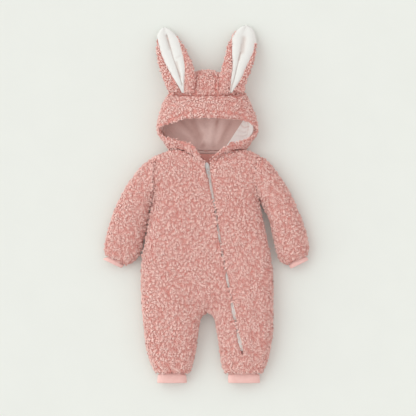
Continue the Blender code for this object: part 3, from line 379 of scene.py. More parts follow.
# painted shade: the lining's base shade of 0.38 darkens it all over
LINING = Brushed(0.35, 5, 0.2, 0.38, 1.1, 0.6, 0.3, 0.9, (0.85, 0.12))
FACING = Brushed(0.3, 6, 0.1, 0, 1.1, 0.6, 0.3, 0.9, (0.85, 0.12))
PLUSH = Brushed(0.4, 2.6, 0.16, 0, 0.9, 1, 0.4, 0.95, (0.88, 0.1))
lining_finish = brushed("lining_knit", LINING, linear(252, 226, 218), linear(184, 138, 128))
facing_finish = brushed("facing_knit", FACING, linear(255, 253, 250), linear(216, 182, 172))
plush_finish = brushed("white_plush", PLUSH, linear(230, 230, 226), linear(200, 180, 171))
print("brushed cloths", [finish.material.name for finish in (lining_finish, facing_finish, plush_finish)])

# %% [markdown]
# ## Zip finishes
# The zip's tape is a diagonal weave of white yarn. The slider and the pull are a cast metal whose
# polish is a little uneven: noise in its roughness shows more than noise in its colour.

# %% Zip finishes
TAPE_WAVE = {"Scale": 1 / (3.2 * MM), "Distortion": 0.6}

tape_finish = Finish("zip_tape", Roughness=0.8)
weave = tape_finish.node("ShaderNodeTexWave", {"bands_direction": "DIAGONAL"},
                         {"Vector": tape_finish.place(), **TAPE_WAVE}, "Fac")
tape_finish.colour(tape_finish.mix(weave, linear(240, 234, 228), linear(252, 250, 246)))
tape_finish.bump(weave, 0.12 * MM)
tape_finish.rough(0.75 + 0.15 * weave)

metal_finish = Finish("zip_metal", Metallic=0.85, Roughness=0.3)
wear = metal_finish.noise(1.6 * MM, 3)
metal_finish.colour(metal_finish.mix(wear, linear(196, 194, 192), linear(232, 230, 227)))
metal_finish.rough(0.22 + 0.25 * wear)
metal_finish.bump(wear, 0.02 * MM)
print("finishes", len(bpy.data.materials))

# %% [markdown]
# ## A cloth from its solid
# A sewn solid is a wall with flat facets. The cloth that shows is the same wall made finer: its
# doubled points are joined, its triangles paired back into four-sided faces, and a level or more
# of subdivision rounds it. Subdivision keeps the form and needs no new drawing, and a crease
# keeps the sharp corners of a hem.

# %% A cloth from its solid
JOIN_DISTANCE = 0.02 * MM
PAIR_ANGLE = math.radians(60)
CORNER_ANGLE = math.radians(48)
CORNER_CREASE = 0.75


def mesh_of(node):
    """The solid of a node with its doubled points joined and its triangles paired."""
    shape = bmesh.new()
    shape.from_mesh(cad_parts[node].data)
    bmesh.ops.remove_doubles(shape, verts=shape.verts, dist=JOIN_DISTANCE)
    bmesh.ops.join_triangles(shape, faces=shape.faces, angle_face_threshold=PAIR_ANGLE,
                             angle_shape_threshold=PAIR_ANGLE)
    crease = shape.edges.layers.float.new("crease_edge")
    for edge in shape.edges:
        if edge.calc_face_angle(0) > CORNER_ANGLE:
            edge[crease] = CORNER_CREASE
    return shape


def finer(shape, name, levels):
    """A new mesh, one or more levels of subdivision finer."""
    rough_mesh = bpy.data.meshes.new(name)
    shape.to_mesh(rough_mesh)
    shape.free()
    helper = bpy.data.objects.new("helper", rough_mesh)
    bpy.context.collection.objects.link(helper)
    step = helper.modifiers.new("finer", "SUBSURF")
    step.levels = levels
    evaluated = helper.evaluated_get(bpy.context.evaluated_depsgraph_get())
    made = bpy.data.meshes.new_from_object(evaluated)
    made.name = name
    bpy.data.objects.remove(helper)
    return made


sample = mesh_of("neck_tape")
print("neck tape becomes", len(sample.faces), "faces")
sample.free()

# %% [markdown]
# ## Reading and adding a piece
# NumPy works on all the points of a mesh at once, which is much faster than a loop over them.
# Every piece is added in the same way: a finish, smooth shading and the body it rides on.

# %% Reading and adding a piece


def points_and_normals(mesh):
    points = np.zeros(len(mesh.vertices) * 3, np.float32)
    normals = np.zeros(len(mesh.vertices) * 3, np.float32)
    mesh.vertices.foreach_get("co", points)
    mesh.vertex_normals.foreach_get("vector", normals)
    return points.reshape(-1, 3).astype(float), normals.reshape(-1, 3).astype(float)


def set_points(mesh, points):
    mesh.vertices.foreach_set("co", points.astype(np.float32).ravel())
    mesh.update()


def unit(vectors):
    """The same ways with a length of 1."""
    return vectors / np.maximum(np.linalg.norm(vectors, axis=1), 1e-9)[:, None]


def triangles_of(mesh):
    mesh.calc_loop_triangles()
    corners = np.zeros(len(mesh.loop_triangles) * 3, np.int32)
    mesh.loop_triangles.foreach_get("vertices", corners)
    return corners.reshape(-1, 3)


def add_piece(name, mesh, finish):
    """Links a mesh as a smooth piece of the romper in its finish."""
    mesh.materials.clear()
    mesh.materials.append(finish.material)
    mesh.shade_smooth()
    piece = bpy.data.objects.new(name, mesh)
    bpy.context.collection.objects.link(piece)
    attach(piece, "garment")
    return piece


print("triangles in the back", len(triangles_of(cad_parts["back"].data)))

# %% [markdown]
# ## Which side is outside
# The pile grows only on the outside of the cloth. A point is outside when the sky or the table
# can see it: one of a small fan of rays, up or down, leaves the romper without meeting any cloth.
# The rays start a little above the skin, at three heights, because panels nearly touch at a seam.

# %% Which side is outside
RAY_STARTS = (5 * MM, 2.5 * MM, 1 * MM)
FAN_TILT = 0.7
FAN = [Vector((x * FAN_TILT, y * FAN_TILT, z)).normalized()
       for z in (1, -1) for x, y in ((0, 0), (1, 0), (-1, 0), (0, 1), (0, -1))]
LEAST_FACING = 0.05
METAL_NODES = ("zip_slider", "zip_pull")


def tree_of(*nodes):
    """The solids of some nodes as one tree, which finds what a ray meets or what is nearest."""
    shape = bmesh.new()
    for node in nodes:
        shape.from_mesh(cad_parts[node].data)
    tree = BVHTree.FromBMesh(shape)
    shape.free()
    return tree


whole_tree = tree_of(*(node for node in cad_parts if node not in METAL_NODES))


def is_outside(points, normals):
    """True for the points that see the sky or the table."""
    seen = np.zeros(len(points), bool)
    for i, (point, normal) in enumerate(zip(points, normals)):
        ways = [way for way in FAN if way.dot(Vector(normal)) > LEAST_FACING]
        starts = [Vector(point + normal * start) for start in RAY_STARTS]
        seen[i] = any(whole_tree.ray_cast(start, way)[0] is None for start in starts for way in ways)
    return seen


print("rays in the fan", len(FAN))

# %% [markdown]
# ## Creases and seams
# The pile parts along a seam or a fold and shows its roots there, with their painted shade. Each line below
# is a chain of points on the table plan, in millimetres, with a width in millimetres and a depth as a share.
# First come the stitched hem of the brim and its roll, then the folds of the crown beside the ears and the
# seam that holds them. The curls near a line stand lower and get a painted shade; a negative depth, as for
# the roll, makes them taller and paints them paler.

# %% Creases and seams
Crease = namedtuple("Crease", "plan width depth")
CREASES = [
    Crease([(-88, 199), (-62, 211), (-34, 218.5), (1, 221), (39, 219), (82, 213), (100, 201)], 2.4, 0.95),
    Crease([(-80, 193), (-60, 202), (-34, 210), (1, 213), (39, 211), (80, 204)], 4.5, -0.3),
    Crease([(-26, 304), (-27, 285), (-24, 268)], 2.6, 0.9),
    Crease([(20, 306), (24, 290), (22, 272)], 2.2, 0.8),
    Crease([(32, 302), (30, 285), (34, 268)], 2.2, 0.8),
    Crease([(-8, 296), (-4, 284), (-7, 272)], 1.8, 0.55),
    Crease([(-87, 263), (-57, 256), (-29, 260), (1, 258), (39, 259), (75, 256), (93, 262)], 2.4, 0.55),
    Crease([(-51, 88), (-41, 84), (-31, 89), (-24, 86), (-16, 79)], 1.6, 0.9),  # chest
    Crease([(-68, 138), (-55, 131), (-46, 124)], 4.0, 0.9),  # right neck fold
    Crease([(66, 141), (75, 134), (83, 127)], 4.0, 0.9),  # left neck fold
    Crease([(-129, 99), (-123, 82)], 2.2, 0.7),  # right armhole
    Crease([(130, 96), (134, 72), (131, 50)], 2.2, 0.7),  # left armhole
    Crease([(89, -362), (85, -404)], 1.8, 0.8),  # seam below the zip
    Crease([(-50, -95), (-38, -104), (-30, -101)], 1.6, 0.6),
    Crease([(52, 5), (60, 14), (71, 12)], 1.6, 0.5),
    Crease([(38, -20), (49, -30), (58, -27)], 1.6, 0.5),
    Crease([(-96, -190), (-88, -214), (-90, -232)], 2.0, 0.5),
    Crease([(-70, -30), (-60, -44), (-63, -58)], 1.6, 0.5),
]
print("creases", len(CREASES))

# %% [markdown]
# ## How near a crease is
# The distance from a point to a chain is the smallest of its distances to the chain's straight
# runs. A bell curve of that distance gives a soft valley: full depth on the line, none beyond
# two or three widths.

# %% How near a crease is
FAR = 1e6  # further than any chain
UPPER_SIDE = 0.1  # creases show on the upper side only, where normals point up at least this much


def way_to(plan, points):
    """The way on the table plan from each point to the nearest place of a chain, in millimetres."""
    flat, plan = points[:, :2] / MM, np.array(plan, float)
    best = np.full((len(flat), 2), FAR)
    for a, b in zip(plan[:-1], plan[1:]):
        along = np.clip(((flat - a) @ (b - a)) / ((b - a) @ (b - a)), 0, 1)
        way = a + along[:, None] * (b - a) - flat
        nearer = np.linalg.norm(way, axis=1) < np.linalg.norm(best, axis=1)
        best[nearer] = way[nearer]
    return best


def distance_to(plan, points):
    return np.linalg.norm(way_to(plan, points), axis=1)


def bell(distance, width):
    return np.exp(-(distance / width) ** 2)


def crease_share(points, normals):
    """How much each point lies in a crease, from 0 to the crease's depth."""
    share = np.zeros(len(points))
    for crease in CREASES:
        share += crease.depth * bell(distance_to(crease.plan, points), crease.width)
    return np.where(normals[:, 2] > UPPER_SIDE, np.minimum(share, 1), 0)


print("a bell at one width is", round(bell(1, 1), 2))

# %% [markdown]
# ## Where pile may grow
# At the tip of each ear the white plush wraps over the fleece, above a slanting line. The back
# grows pile on its lower side only: its upper side is the inside of the body, also where the open
# neck shows it.

# %% Where pile may grow
TIP_LINES = {"ear_back_right": (418 * MM, 0.18), "ear_back_left": (470 * MM, -0.72)}  # y at x = 0, slope
INSIDE_NORMAL = 0.3


def past_the_tip(node, points):
    """True for the points of an ear where white plush takes the place of the pile."""
    if node not in TIP_LINES:
        return np.zeros(len(points), bool)
    level, slope = TIP_LINES[node]
    return points[:, 1] > level + slope * points[:, 0]


def may_grow(node, points, normals):
    if node == "back":
        return normals[:, 2] < INSIDE_NORMAL
    return ~past_the_tip(node, points)


print("ears with a plush tip", list(TIP_LINES))

# %% [markdown]
# ## Fleece grounds
# The ground is the knitted back of the fleece. It sinks by the pile's depth below the solid's
# outer face, but keeps at least its own thickness, so thin hems keep a short pile. How far each
# point sank is kept, because the curls there are that long.

# %% Fleece grounds
PILE = 3.8 * MM
GROUND_LEFT = 1.6 * MM
UNDER_SKIN = 0.1 * MM  # a ray starts this far below the skin, so that it doesn't meet the skin itself
FLEECE_NODES = ("front_right", "front_left", "back", "sleeve_right", "sleeve_left", "hood_front", "hood_back",
                "ear_back_right", "ear_back_left")

Ground = namedtuple("Ground", "piece points normals sunk outside triangles")


def sink(node, mesh):
    """Lowers the outer skin by up to PILE and returns how far each point went and which are outside."""
    points, normals = points_and_normals(mesh)
    outside = is_outside(points, normals) & may_grow(node, points, normals)
    tree = BVHTree.FromPolygons([Vector(p) for p in points], [tuple(f.vertices) for f in mesh.polygons])
    sunk = np.zeros(len(points))
    for i in np.flatnonzero(outside):
        hit = tree.ray_cast(Vector(points[i] - normals[i] * UNDER_SKIN), Vector(-normals[i]))
        room = hit[3] if hit[0] is not None else 0.0
        sunk[i] = min(PILE, max(0.0, room - GROUND_LEFT))
    lowered = points - normals * sunk[:, None]
    set_points(mesh, lowered)
    return lowered, normals, sunk, outside


grounds = {}
for node in FLEECE_NODES:
    cloth = finer(mesh_of(node), f"fleece_{node}", 1)
    points, normals, sunk, outside = sink(node, cloth)
    piece = add_piece(f"fleece_{node}", cloth, ground_finish)
    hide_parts(node)
    cloth.materials.append(plush_finish.material)
    middles = np.array([face.center for face in cloth.polygons])
    cloth.polygons.foreach_set("material_index", past_the_tip(node, middles).astype(np.int32))
    grounds[node] = Ground(piece, points, normals, sunk, outside, triangles_of(cloth))
    print(node, len(grounds[node].triangles), "faces, outside", round(outside.mean(), 2),
          "sunk mm", round(sunk[outside].mean() / MM, 2))

# %% [markdown]
# ## Scattering points
# Each curl needs its own room, so points are thrown at random on the skin and kept only when no
# earlier point is nearer than the spacing. That looks even, but has no rows. Sorting the points
# into boxes as wide as the spacing means that only 27 boxes have to be searched for each throw.

# %% Scattering points
NEAR_BOXES = [(i, j, k) for i in (-1, 0, 1) for j in (-1, 0, 1) for k in (-1, 0, 1)]

chance = np.random.default_rng(7)


def scatter(triangles, spacing, throws):
    """Throws points on triangles: which one each point hits, its corners' weights and its normal."""
    facing = np.cross(triangles[:, 1] - triangles[:, 0], triangles[:, 2] - triangles[:, 0])
    area = np.linalg.norm(facing, axis=1) / 2
    count = int(area.sum() / spacing**2 * throws)
    face = chance.choice(len(area), count, p=area / area.sum())
    u, v = chance.random(count), chance.random(count)
    u, v = np.where(u + v > 1, 1 - u, u), np.where(u + v > 1, 1 - v, v)
    return face, np.stack([1 - u - v, u, v], axis=1), facing[face] / (2 * area[face])[:, None]


def well_apart(places, spacing):
    """The numbers of the places that have no earlier one nearer than spacing."""
    kept, boxes, limit = [], {}, spacing**2
    for n, (place, key) in enumerate(zip(places.tolist(), np.floor(places / spacing).astype(int).tolist())):
        x, y, z = key
        close = (other for i, j, k in NEAR_BOXES for other in boxes.get((x + i, y + j, z + k), ()))
        if all(sum((p - q) ** 2 for p, q in zip(place, other)) >= limit for other in close):
            boxes.setdefault((x, y, z), []).append(place)
            kept.append(n)
    return kept


print("boxes to search", len(NEAR_BOXES))

# %% [markdown]
# ## Where the curls grow
# The upper side is what the picture shows, so the under side gets fewer, wider spaced curls. None
# grows close to a cuff, so that the pile doesn't hide the knit.

# %% Where the curls grow
SPACING = 2.65 * MM
UNDER_SPACING = 4.4 * MM
UNDER_NORMAL = -0.6
THROWS = 8
CUFF_CLEAR = 4 * MM
CUFF_NODES = ("cuff_sleeve_right", "cuff_sleeve_left", "cuff_leg_right", "cuff_leg_left")

Spots = namedtuple("Spots", "points normals depth")
cuff_tree = tree_of(*CUFF_NODES)


def thrown(node, ground, spacing, under):
    """Scattered points on one side of a ground, no two nearer than spacing."""
    wanted = ground.outside & ((ground.normals[:, 2] < UNDER_NORMAL) == under)
    corners = ground.triangles[wanted[ground.triangles].sum(axis=1) > (1 if under else 0)]
    if not len(corners):
        return Spots(np.zeros((0, 3)), np.zeros((0, 3)), np.zeros(0))
    face, weights, _ = scatter(ground.points[corners], spacing, THROWS)

    def carried(values):
        return np.einsum("nk,nkd->nd", weights, values[corners[face]].reshape(len(face), 3, -1))

    kept = well_apart(carried(ground.points), spacing)
    places, directions, depth = (carried(v)[kept] for v in (ground.points, ground.normals, ground.sunk))
    directions = unit(directions)
    seen = is_outside(places + directions * depth, directions) & may_grow(node, places, directions)
    for i in np.flatnonzero(seen):
        seen[i] = cuff_tree.find_nearest(places[i] + directions[i] * depth[i], CUFF_CLEAR)[0] is None
    return Spots(places[seen], directions[seen], depth[seen, 0])


spots = {}
for node, ground in grounds.items():
    sides = thrown(node, ground, SPACING, False), thrown(node, ground, UNDER_SPACING, True)
    spots[node] = Spots(*(np.concatenate(parts) for parts in zip(*sides)))
print("scattered", {node: len(s.points) for node, s in spots.items()})

# %% [markdown]
# ## Seams that the pile hides
# Where two panels meet, the pile of both sides leans over the seam and hides it. The places of
# the seams come from the solids: they are where one fleece solid comes closer than a millimetre
# to another.

# %% Seams that the pile hides
SEAM_GAP = 1 * MM
SEAM_STEPS = (0, 0.14, 0.28, 0.42, 0.57, 0.71, 0.85)


def nearest_of(points):
    """A tree that finds the nearest of many points."""
    tree = KDTree(len(points))
    for i, point in enumerate(points):
        tree.insert(point, i)
    tree.balance()
    return tree


trees = {node: tree_of(node) for node in FLEECE_NODES}
seam_places = []
for node in FLEECE_NODES:
    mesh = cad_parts[node].data
    others = [trees[other] for other in trees if other != node]
    for edge in mesh.edges:
        a, b = (mesh.vertices[k].co for k in edge.vertices)
        for place in (a.lerp(b, step) for step in SEAM_STEPS):
            if any(tree.find_nearest(place, SEAM_GAP)[0] for tree in others):
                seam_places.append(place)
seam_tree = nearest_of(seam_places)
print("places on seams", len(seam_places))

# %% [markdown]
# ## Where the zip runs
# The line of the zip lies halfway between the inner edges of its two tapes. In some stretches the
# pile hides it. In others the pile opens like a lens and the tapes bulge up, so that they show: a
# table of heights along the zip is the shortest way to say where.

# %% Where the zip runs
ZIP_ROWS = 60
ZIP_HIDDEN = ((-53, 9), (-163, -92), (-235, -200), (-309, -279))  # stretches of y, in millimetres
# y and how high the tapes bulge there, in millimetres: high in the openings, low where they hide
ZIP_RISE = ((-353, 2), (-331, 4.5), (-309, 1), (-294, 0.8), (-279, 1), (-257, 4.5), (-235, 1), (-217, 0.8),
            (-200, 1), (-181, 4.5), (-163, 1), (-127, 0.8), (-92, 1), (-72, 4), (-53, 1), (-22, 0.8),
            (9, 2.5), (50, 3), (64, 0.4))


def tape_edge(node, pick):
    """The inner edge of a zip tape: for each of its rows the x nearest the zip, y and the top z."""
    rows = {}
    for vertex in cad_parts[node].data.vertices:
        rows.setdefault(round(vertex.co.y / MM, 1), []).append(vertex.co)
    return np.array([[pick(v.x for v in row), row[0].y, max(v.z for v in row)]
                     for _, row in sorted(rows.items())])


def zip_rise(rows):
    """How high the tapes bulge at each y."""
    return np.interp(rows / MM, *zip(*ZIP_RISE)) * MM


right_edge, left_edge = tape_edge("zip_tape_right", max), tape_edge("zip_tape_left", min)
zip_rows = np.linspace(right_edge[0, 1], right_edge[-1, 1], ZIP_ROWS)
right_x, right_z, left_x = (np.interp(zip_rows, edge[:, 1], edge[:, k])
                            for edge, k in ((right_edge, 0), (right_edge, 2), (left_edge, 0)))
zip_line = np.stack([(right_x + left_x) / 2, zip_rows, right_z], axis=1)
zip_plan = zip_line[:, :2] / MM
print("zip from", (zip_line[0] / MM).round(1), "to", (zip_line[-1] / MM).round(1))

# %% [markdown]
# ## Curls on the seams
# The scattered roots leave a bare strip along a seam, and none falls in its gap. So more points
# are thrown on the solids themselves, close to the seams, and those that see the sky or the table
# and have no curl near them yet get one. Below the lower corners of the hood's face opening the
# facings and the lining lie right under the seam, so the pile covers their sides as well.

# %% Curls on the seams
SEAM_SIDE = 9 * MM
SEAM_SPACING = 2.4 * MM
SEAM_THROWS = 1.5
SEAM_SHARE = 0.85
BARE = 2.5 * MM
CORNER_Y = (108 * MM, 150 * MM)
CORNER_TOP = 60 * MM
CORNER_SIDE = 0.15
CORNER_ROOT = 0.5 * MM
CORNERS = [("hood_front", cloth) for cloth in ("hood_facing_right", "hood_facing_left", "hood_lining")]


def at_corner(place, normal):
    """True on the outer side of a corner of the hood, which faces away from the middle and down."""
    outer = np.array((np.sign(place[0]), -1, -0.3))
    return CORNER_Y[0] < place[1] < CORNER_Y[1] and place[2] < CORNER_TOP and normal @ outer > CORNER_SIDE


tops_tree = nearest_of(np.concatenate([s.points + s.normals * s.depth[:, None] for s in spots.values()]))
for node, source in [(node, node) for node in FLEECE_NODES] + CORNERS:
    own = source == node
    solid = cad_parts[source].data
    corners = np.array([v.co for v in solid.vertices])[triangles_of(solid)]
    face, weights, normals = scatter(corners, SEAM_SPACING, SEAM_THROWS)
    places = np.einsum("nk,nkd->nd", weights, corners[face])
    kept, taken = [], set()
    for i, place in enumerate(places):
        key = tuple(int(w // SEAM_SPACING) for w in place)
        if key in taken or tops_tree.find(place)[2] < (BARE if own else BARE / 2):
            continue
        wanted = seam_tree.find(place)[2] <= SEAM_SIDE if own else at_corner(place, normals[i])
        if wanted and is_outside(places[i:i + 1], normals[i:i + 1])[0]:
            taken.add(key)
            kept.append(i)
    places, normals = places[kept], normals[kept]
    fits = may_grow(node, places, normals)
    roots = places[fits] - normals[fits] * (PILE if own else CORNER_ROOT)
    extra = Spots(roots, normals[fits], np.full(len(roots), PILE * SEAM_SHARE))
    spots[node] = Spots(*(np.concatenate(both) for both in zip(spots[node], extra)))
    print(source, "seam curls", len(roots))

# %% [markdown]
# ## Narrow gaps
# Between a sleeve and the body the pile of both stands free and almost fills the gap, so the curls
# that look across it grow longer.

# %% Narrow gaps
GAP = 16 * MM
GAP_GROWTH = 1.75
SIDEWAYS = 0.85  # the curls of a gap stand on faces that look less up or down than this
TOWARDS = 0.5  # and that look at least this much towards the other side
SEAM_REACH = 4.5 * MM
SLEEVES = ("sleeve_right", "sleeve_left")
BODY = ("front_right", "front_left", "back")

for node in SLEEVES + BODY:
    s = spots[node]
    others = [trees[other] for other in (BODY if node in SLEEVES else SLEEVES)]
    growth = np.ones(len(s.points))
    for i, (point, normal) in enumerate(zip(s.points, s.normals)):
        if abs(normal[2]) > SIDEWAYS or seam_tree.find(point)[2] < SEAM_REACH:
            continue
        hits = [other.find_nearest(point, GAP)[0] for other in others]
        ways = [np.array(hit) - point for hit in hits if hit is not None]
        if any(way @ normal > TOWARDS * np.linalg.norm(way) for way in ways):
            growth[i] = GAP_GROWTH
    spots[node] = s._replace(depth=s.depth * growth)
    print(node, "longer", int((growth > 1).sum()))

# %% [markdown]
# ## The form of a curl
# One curl is a short lock of threads that rises, bends over and turns back down, like a hook. It
# is a three-sided tube through a few rings, closed by a tip. Fewer sides would look flat, and
# more would only cost faces, because a curl is less than two millimetres thick.

# %% The form of a curl
# along: share of the curl's length; up: how high the ring is, in pile depths; out, side, wide: how
# far it leans, how far it swings to the side and its radius, in CURL_WIDTH
Ring = namedtuple("Ring", "along up out side wide")
RINGS = [Ring(0.0, -0.1, 0.0, 0.0, 0.85), Ring(0.4, 0.5, -0.25, 0.3, 1.05), Ring(0.68, 0.9, 0.3, -0.2, 1.0),
         Ring(0.88, 0.82, 1.4, 0.3, 0.8), Ring(1.0, 0.42, 2.1, 0.8, 0.0)]
SIDES = 3
CURL_WIDTH = 1.75 * MM


def curl_faces(count):
    """The four-sided faces of all the tubes and the three-sided ones of their tips."""
    tip = (len(RINGS) - 1) * SIDES
    starts = (np.arange(count) * (tip + 1))[:, None, None]
    pairs = [(s, (s + 1) % SIDES) for s in range(SIDES)]
    rings = range(0, tip - SIDES, SIDES)
    tube = [(k + a, k + b, k + b + SIDES, k + a + SIDES) for k in rings for a, b in pairs]
    ends = [(tip - SIDES + a, tip - SIDES + b, tip) for a, b in pairs]
    return (np.array(tube)[None] + starts).reshape(-1, 4), (np.array(ends)[None] + starts).reshape(-1, 3)


print("faces in a curl", sum(len(part) for part in curl_faces(1)))

# %% [markdown]
# ## Which way the curls lean
# Teddy fleece gathers in clumps: the curls of one clump lean to its middle. A little chance and
# the way the pile is brushed come in too. At a seam the curls lean over it. Along the zip they
# lean away from it in the openings, and over it where it is hidden.

# %% Which way the curls lean
CLUMP = 6.5 * MM
CLUMP_SHARE = (SPACING / CLUMP) ** 2 * 1.3  # this share of the curls are middles of clumps
TO_MIDDLE, BY_CHANCE = 0.9, 0.7
NAP_WAY = np.array([0.1, -0.5, 0.0])  # the pile is brushed down
BATCH = 2000  # curls worked out at once, so that the table of distances stays small
ZIP_REACH = 8 * MM
NOT_UNDER = -0.3
# how much of its own way a curl keeps, and how far it reaches
SEAM_KEEP, SEAM_STRETCH = 0.7, 1.3
OPEN_KEEP, OPEN_STRETCH = 0.4, 0.5
HIDE_KEEP, HIDE_STRETCH = 0.8, (1.9, 2.9)


def leaning(spots):
    """The way each curl bends, how far it is from the middle of its clump, and its reach."""
    middles = spots.points[chance.random(len(spots.points)) < CLUMP_SHARE]
    towards = np.zeros_like(spots.points)
    for start in range(0, len(spots.points), BATCH):
        part = spots.points[start:start + BATCH]
        nearest = ((part[:, None] - middles[None]) ** 2).sum(axis=2).argmin(axis=1)
        towards[start:start + BATCH] = middles[nearest] - part
    distance = np.linalg.norm(towards, axis=1) / CLUMP
    wanted = unit(towards) * TO_MIDDLE + unit(chance.normal(size=towards.shape)) * BY_CHANCE + NAP_WAY
    reach = np.ones(len(towards))
    for i, point in enumerate(spots.points):
        place, _, away = seam_tree.find(point)
        if away < SEAM_REACH:
            wanted[i] = (np.array(place) - point) / max(away, UNDER_SKIN) + wanted[i] * SEAM_KEEP
            reach[i] = SEAM_STRETCH

    zip_way = way_to(zip_plan, spots.points)
    row = spots.points[:, 1] / MM
    hidden = np.any([(row > low) & (row < high) for low, high in ZIP_HIDDEN], axis=0)
    near_zip = (np.linalg.norm(zip_way, axis=1) * MM < ZIP_REACH) & (spots.normals[:, 2] > NOT_UNDER)
    hidden, shown = near_zip & hidden, near_zip & ~hidden
    wanted[shown, :2] = -unit(zip_way[shown]) + wanted[shown, :2] * OPEN_KEEP
    reach[shown] = OPEN_STRETCH
    wanted[hidden, :2] = unit(zip_way[hidden]) + wanted[hidden, :2] * HIDE_KEEP
    reach[hidden] = chance.uniform(*HIDE_STRETCH, hidden.sum())
    flat = wanted - spots.normals * (wanted * spots.normals).sum(axis=1)[:, None]
    return unit(flat), distance, reach


print("one curl in", round(1 / CLUMP_SHARE), "is the middle of a clump")

# %% [markdown]
# ## Meshes from arrays
# A panel has thousands of curls, and adding them one by one would take minutes. So the points and faces are
# worked out as arrays and handed to Blender at once. Each point also gets its tone, partly chance and partly
# painted shade, and its height along the curl, and a map whose across is the tone and whose up is the height.

# %% Meshes from arrays
TONE_WIDTH = 0.03
HEIGHT_RANGE = (0.02, 0.96)  # where the roots lie on the map, and how far above them the tips


def joined(name, points, quads, ends):
    """A mesh from arrays of points, four-sided and three-sided faces."""
    mesh = bpy.data.meshes.new(name)
    mesh.vertices.add(len(points))
    mesh.vertices.foreach_set("co", points.astype(np.float32).ravel())
    mesh.loops.add(quads.size + ends.size)
    mesh.loops.foreach_set("vertex_index", np.concatenate([quads.ravel(), ends.ravel()]).astype(np.int32))
    sizes = np.concatenate([np.full(len(quads), 4), np.full(len(ends), 3)])
    mesh.polygons.add(len(sizes))
    mesh.polygons.foreach_set("loop_start", np.concatenate([[0], np.cumsum(sizes)[:-1]]).astype(np.int32))
    mesh.update(calc_edges=True)
    mesh.validate()
    return mesh


def add_numbers(mesh, tone, along, quads):
    """Gives each curl its darkness, partly chance and partly painted shade, and its height, and the map that
    bakes them: darkness across, height up.
    """
    for key, values in (("tone", tone), ("height", along)):
        mesh.attributes.new(key, "FLOAT", "POINT").data.foreach_set("value", values.astype(np.float32))
    corner = np.zeros(len(mesh.loops), np.int32)
    mesh.loops.foreach_get("vertex_index", corner)
    ends = (len(corner) - 4 * quads) // 3
    side = np.concatenate([np.tile([0, 1, 1, 0], quads), np.tile([0, 1, 0.5], ends)])
    up = HEIGHT_RANGE[0] + HEIGHT_RANGE[1] * along[corner]
    bake = np.stack([tone[corner] + TONE_WIDTH * side, up], axis=1)
    mesh.uv_layers.new(name="OFBake").data.foreach_set("uv", bake.astype(np.float32).ravel())


print("map width of a curl", TONE_WIDTH)

# %% [markdown]
# ## Growing the pile
# The curls in the middle of a clump stand high and pale, and those at its edge lie lower and get a painted
# shade, which gives the soft clouds of the real fleece. In a crease they are shorter, with more painted shade
# still. Where they lie under the romper, the table presses them flat.

# %% Growing the pile
LEAST_DEPTH = 2.4 * MM
CREASE_DROP = 2.0 * MM
MOUND_TOP, MOUND_FALL, MOUND_EDGE = 1.25, 0.85, 0.75
CREASE_SHORTER = 0.5
HEIGHTS, WIDTHS = (0.86, 1.1), (0.85, 1.2)  # each curl's own share of the depth and of the width
TONES = (0.16, 0.14)  # usual tone and how much it varies
# painted shade: how far the colour goes to the deep red at a clump's edge and in a crease, and where the edge
# shade stops growing
CLUMP_EDGE_SHADE, CREASE_SHADE, EDGE_SHADE_LIMIT = 0.55, 0.6, 0.9
TONE_AND_SHADE_RANGE = (0.02, 0.95)
FIRST_TURN = 0.5  # radians, so that a curl doesn't show a flat side


def curls(name, spots):
    """One mesh with a curl at every spot."""
    out, distance, reach = leaning(spots)
    side = np.cross(spots.normals, out)
    count = len(spots.points)
    crease = crease_share(spots.points, spots.normals)
    mound = MOUND_TOP - MOUND_FALL * np.minimum(distance, MOUND_EDGE)
    depth = np.maximum(spots.depth, LEAST_DEPTH) * mound
    depth *= chance.uniform(*HEIGHTS, count) * (1 - CREASE_SHORTER * crease)
    width = CURL_WIDTH * chance.uniform(*WIDTHS, count)
    swing = chance.uniform(-1, 1, count)
    # chance, plus painted shade towards the clump's edge and in creases
    tone = chance.normal(*TONES, count) + CLUMP_EDGE_SHADE * np.minimum(distance, EDGE_SHADE_LIMIT) ** 2
    tone = np.clip(tone + CREASE_SHADE * crease, *TONE_AND_SHADE_RANGE)
    roots = spots.points - spots.normals * (CREASE_DROP * crease)[:, None]
    middles = []
    for ring in RINGS:
        sideways = out * (ring.out * reach)[:, None] + side * (ring.side * swing)[:, None]
        middles.append(roots + depth[:, None] * spots.normals * ring.up + width[:, None] * sideways)
    parts = []
    for k, ring in enumerate(RINGS[:-1]):
        way = unit(middles[k + 1] - middles[max(k - 1, 0)])
        across = unit(np.cross(way, side))
        for s in range(SIDES):
            turn = 2 * math.pi * s / SIDES + FIRST_TURN
            outwards = side * math.cos(turn) + across * math.sin(turn)
            parts.append(middles[k] + (ring.wide * width)[:, None] * outwards)
    points = np.stack([*parts, middles[-1]], axis=1)
    points[..., 2] = np.maximum(points[..., 2], 0)
    quads, ends = curl_faces(count)
    mesh = joined(name, points.reshape(-1, 3), quads, ends)
    along = np.array([r.along for r in RINGS[:-1] for _ in range(SIDES)] + [1.0])
    add_numbers(mesh, np.repeat(tone, len(along)), np.tile(along, count), len(quads))
    return mesh


piles = {}
for node, places in spots.items():
    mesh = curls(f"pile_{node}", places)
    piles[node] = add_piece(f"pile_{node}", mesh, pile_finish)
    print(node, "pile", len(mesh.polygons), "faces")

# %% [markdown]
# ## Folds of the smooth cloths
# A fold is again a chain of points on the table plan. It lifts the cloth to a ridge, or presses it down to a
# crease, and fades out to the sides. The shade number goes to the colour as painted shade, because a narrow
# crease in a white plush is greyer than its depth alone would make it; a negative shade paints a ridge paler,
# a painted highlight.

# %% Folds of the smooth cloths
Fold = namedtuple("Fold", "plan width rise shade")
